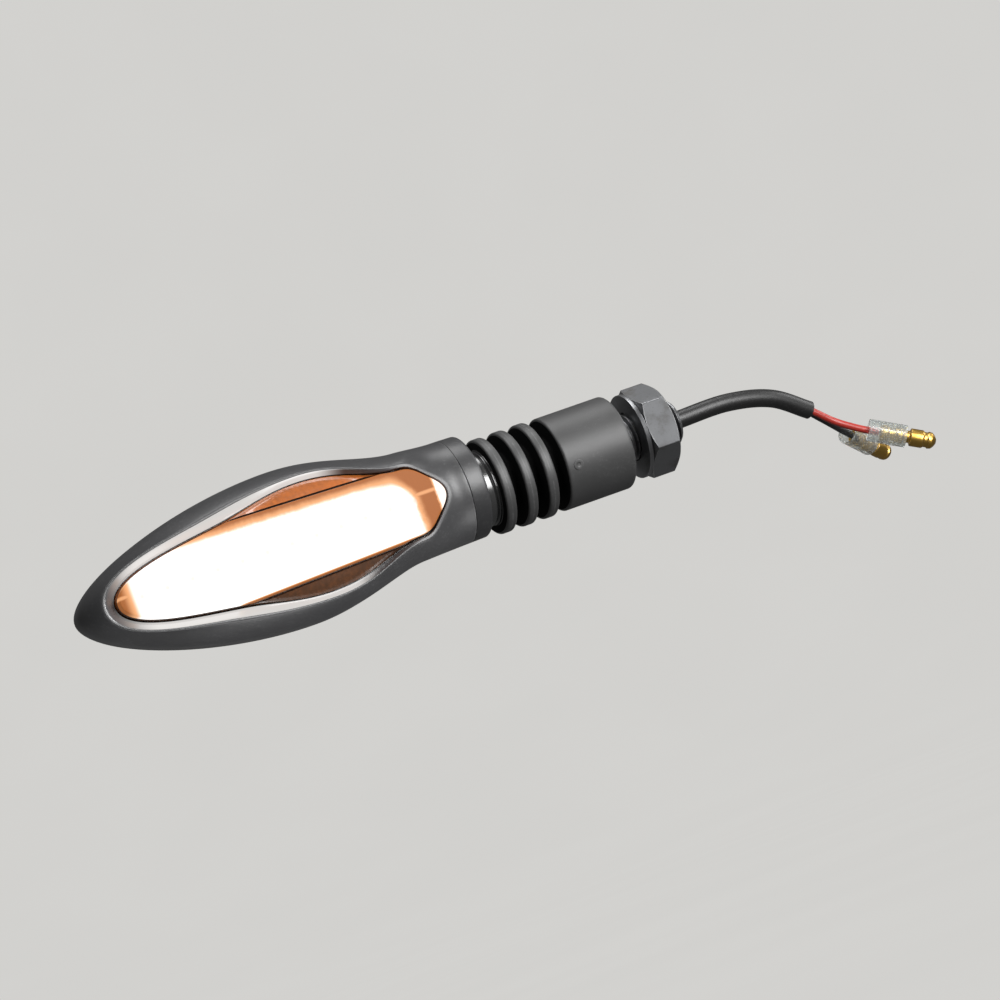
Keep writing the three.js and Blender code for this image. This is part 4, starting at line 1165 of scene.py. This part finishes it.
def lens():
    """Lens with a raised bar. Thin grooves part the bar from the amber spindles beside it, and are painted
    dark as shade.
    """
    edge = inset(OPENING, 0.25)
    foot_loop = flattened_to_bar(inset(OPENING, 0.6), 0)
    top_loop = flattened_to_bar(inset(OPENING, 0.95), 0.35)
    rim = at(edge, level_under_tip(9.3))
    foot = at(foot_loop, level_under_tip(BAR_DEPTH - 1))
    width = np.linalg.norm(foot_loop - edge, axis=1)[:, None]
    groove_at = 1 - np.minimum(0.5 / width, 0.5)
    wall_at = 1 - np.minimum(0.16 / width, 0.25)
    groove_top = rim + (foot - rim) * groove_at
    groove_floor = rim + (foot - rim) * wall_at
    groove_floor[:, 1] = np.minimum(groove_floor[:, 1], groove_top[:, 1]) - 0.4
    crown = np.minimum(width[:, 0] / 3.5, 1) * 0.25
    rings, zones = [at(edge, LENS_UNDERSIDE), rim], [0, 0]
    for share in (0.2, 0.4, 0.6, 0.8, 1.0):
        ring = rim + (groove_top - rim) * share
        ring[:, 1] += crown * math.sin(math.pi * min(share, 0.9))
        rings.append(ring)
        zones.append(0)
    zones[-1] = 1
    groove_foot = foot.copy()
    groove_foot[:, 1] = groove_floor[:, 1]
    rings += [groove_floor, groove_foot, at(foot_loop, level_under_tip(BAR_DEPTH - 0.42))]
    zones += [1, 2, 2]
    corner = at(foot_loop, level_under_tip(BAR_DEPTH))
    before, after = rings[-1], at(top_loop, level_under_tip(BAR_DEPTH))
    for t in (0.25, 0.5, 0.75, 1.0):
        rings.append(before * (1 - t) ** 2 + corner * 2 * t * (1 - t) + after * t * t)
        zones.append(2)
    materials = [LENS_AMBER, LENS_GROOVE_PAINTED_SHADE, LENS_LIT]
    glass = ring_mesh("lens_moulding", [to_frame(r) for r in rings], materials, zones, sharp=28)
    for along, up in SCREW_PLACES:
        for radius, low, high, operation in (
            (BOSS_RADIUS, BOARD_FRONT + 0.05, LENS_UNDERSIDE + 0.5, "UNION"),
            (SCREW_RADIUS + 0.1, BOARD_FRONT - 1, LENS_UNDERSIDE - 0.3, "DIFFERENCE"),
        ):
            tool = depth_tool("boss", along, up, radius, low, high, LENS_AMBER)
            combine(glass, tool, operation, 28)
    settle(glass, "head", "amber_lens", "lens")


def inner_parts():
    """CAD nodes inside the head and their materials."""
    inside = {
        "lens_gasket": GASKET, "led_board": BOARD, "reflector": WHITE_PLASTIC, "driver_chip": CHIP_EPOXY,
        "diode": CHIP_EPOXY, "capacitor": TANTALUM, "lead_positive": WIRE_RED, "lead_negative": WIRE_BLACK,
    }
    inside |= {f"resistor_{number}": CHIP_EPOXY for number in range(1, RESISTORS + 1)}
    inside |= {f"led_{number:02d}": LED_PHOSPHOR for number in range(1, LEDS + 1)}
    for name, material in inside.items():
        keep(name, material)


# ---------------------------------------------------------------- studio

PALE = "#e6e5e2"


def backdrop():
    """Pale floor that curves up into a wall all round."""
    floor_at, floor_radius, curve, height = -105.0, 1500.0, 700.0, 2600.0
    path = [(floor_at, 200.0), (floor_at, floor_radius)]
    for angle in np.linspace(0, math.pi / 2, 13)[1:]:
        path.append((floor_at + curve * (1 - math.cos(angle)), floor_radius + curve * math.sin(angle)))
    path.append((floor_at + height, floor_radius + curve))
    sides = 96
    angles = np.arange(sides) * 2 * math.pi / sides
    points, faces = [], [tuple(range(sides))]
    for z, radius in path:
        points += [(radius * math.cos(a), radius * math.sin(a), z) for a in angles]
    for r in range(len(path) - 1):
        for i in range(sides):
            j = (i + 1) % sides
            faces.append((r * sides + i, r * sides + j, (r + 1) * sides + j, (r + 1) * sides + i))
    material, tree = new_material("studio_paper")
    mottle = remap(tree, noise(tree, place_of(tree, (0.01, 0.01, ON_AXIS)), 1.0), 0.3, 0.7, 0.81, 0.82)
    shaded(material, {
        "Base Color": (0, 0, 0, 1), "Roughness": 1.0, "Specular IOR Level": 0.0,
        "Emission Color": colour(PALE), "Emission Strength": mottle,
    })
    mesh = bpy.data.meshes.new("studio_floor")
    mesh.from_pydata((np.array(points) * MM).tolist(), [], faces)
    mesh.materials.append(material)
    mesh.shade_smooth()
    floor = bpy.data.objects.new("studio_floor", mesh)
    bpy.context.scene.collection.objects.link(floor)
    floor.visible_diffuse = False
    floor.visible_glossy = False
    floor.visible_shadow = False
    return floor


def soft_light(name, place, size, power, receivers):
    """Area light aimed at the neck. It shines on what the receiver collection lets through."""
    data = bpy.data.lights.new(name, "AREA")
    data.shape = "RECTANGLE"
    data.size, data.size_y = size
    data.energy = power
    light = bpy.data.objects.new(name, data)
    light.location = place
    light.rotation_mode = "QUATERNION"
    light.rotation_quaternion = (Vector((-0.04, 0, 0)) - Vector(place)).to_track_quat("-Z", "Y")
    bpy.context.scene.collection.objects.link(light)
    light.light_linking.receiver_collection = receivers


def receivers_of(name, state, objects):
    """Light linking collection that includes or excludes objects."""
    collection = bpy.data.collections.new(name)
    for obj in objects:
        collection.objects.link(obj)
    for entry in collection.collection_objects:
        entry.light_linking.link_state = state
    return collection


def studio(bezel, metal_pieces):
    """Soft front light kept off the bare metal, one overhead, and a strip below for the bezel's bevel."""
    floor = backdrop()
    all_but_floor = receivers_of("all_but_floor", "EXCLUDE", [floor])
    no_metal = receivers_of("no_metal", "EXCLUDE", [floor, *metal_pieces])
    metal_only = receivers_of("metal_only", "INCLUDE", metal_pieces)
    bezel_only = receivers_of("bezel_only", "INCLUDE", [bezel])
    soft_light("key", (0.2, -0.62, 0.1), (0.3, 0.4), 7.0, no_metal)
    soft_light("key_on_metal", (0.2, -0.62, 0.1), (0.4, 0.4), 0.9, metal_only)
    soft_light("top", (-0.02, -0.1, 0.8), (0.9, 0.3), 6.0, all_but_floor)
    soft_light("side", (0.8, -0.1, 0.3), (0.4, 0.4), 3.0, all_but_floor)
    soft_light("below", (-0.1, -0.16, -0.5), (0.6, 0.3), 2.5, bezel_only)
    world = bpy.data.worlds.new("studio_world")
    world.use_nodes = True
    background = world.node_tree.nodes["Background"]
    background.inputs["Color"].default_value = (1, 1, 1, 1)
    background.inputs["Strength"].default_value = 0.13
    bpy.context.scene.world = world


def camera():
    """Photograph's view: in front, a little below and to the tip's side, rolled so that the stalk rises."""
    azimuth, elevation, roll, distance = -20.0, -4.0, 20.9, 1.0
    low, high = cad_low, cad_high
    centre = (low + high) / 2
    a, e = math.radians(azimuth), math.radians(elevation)
    back = Vector((math.sin(a) * math.cos(e), -math.cos(a) * math.cos(e), math.sin(e)))
    data = bpy.data.cameras.new("photo_view")
    data.lens = 175
    data.sensor_width = 36
    data.clip_start, data.clip_end = 0.01, 20
    view = bpy.data.objects.new("photo_view", data)
    view.location = centre + back * distance
    view.rotation_mode = "QUATERNION"
    level = (-back).to_track_quat("-Z", "Y")
    view.rotation_quaternion = level @ Matrix.Rotation(math.radians(-roll), 3, "Z").to_quaternion()
    bpy.context.scene.collection.objects.link(view)
    bpy.context.scene.camera = view


rubber_pieces()
mould_pip()
cable_core()
bare_metal = [threaded_stud(), washer(), hex_nut()]
cable_sheath()
wires()
bezel = front_bezel()
rear_shell()
collar()
shell_screws()
lens()
inner_parts()
studio(bezel, bare_metal)
camera()
bpy.context.scene.view_settings.view_transform = "Standard"
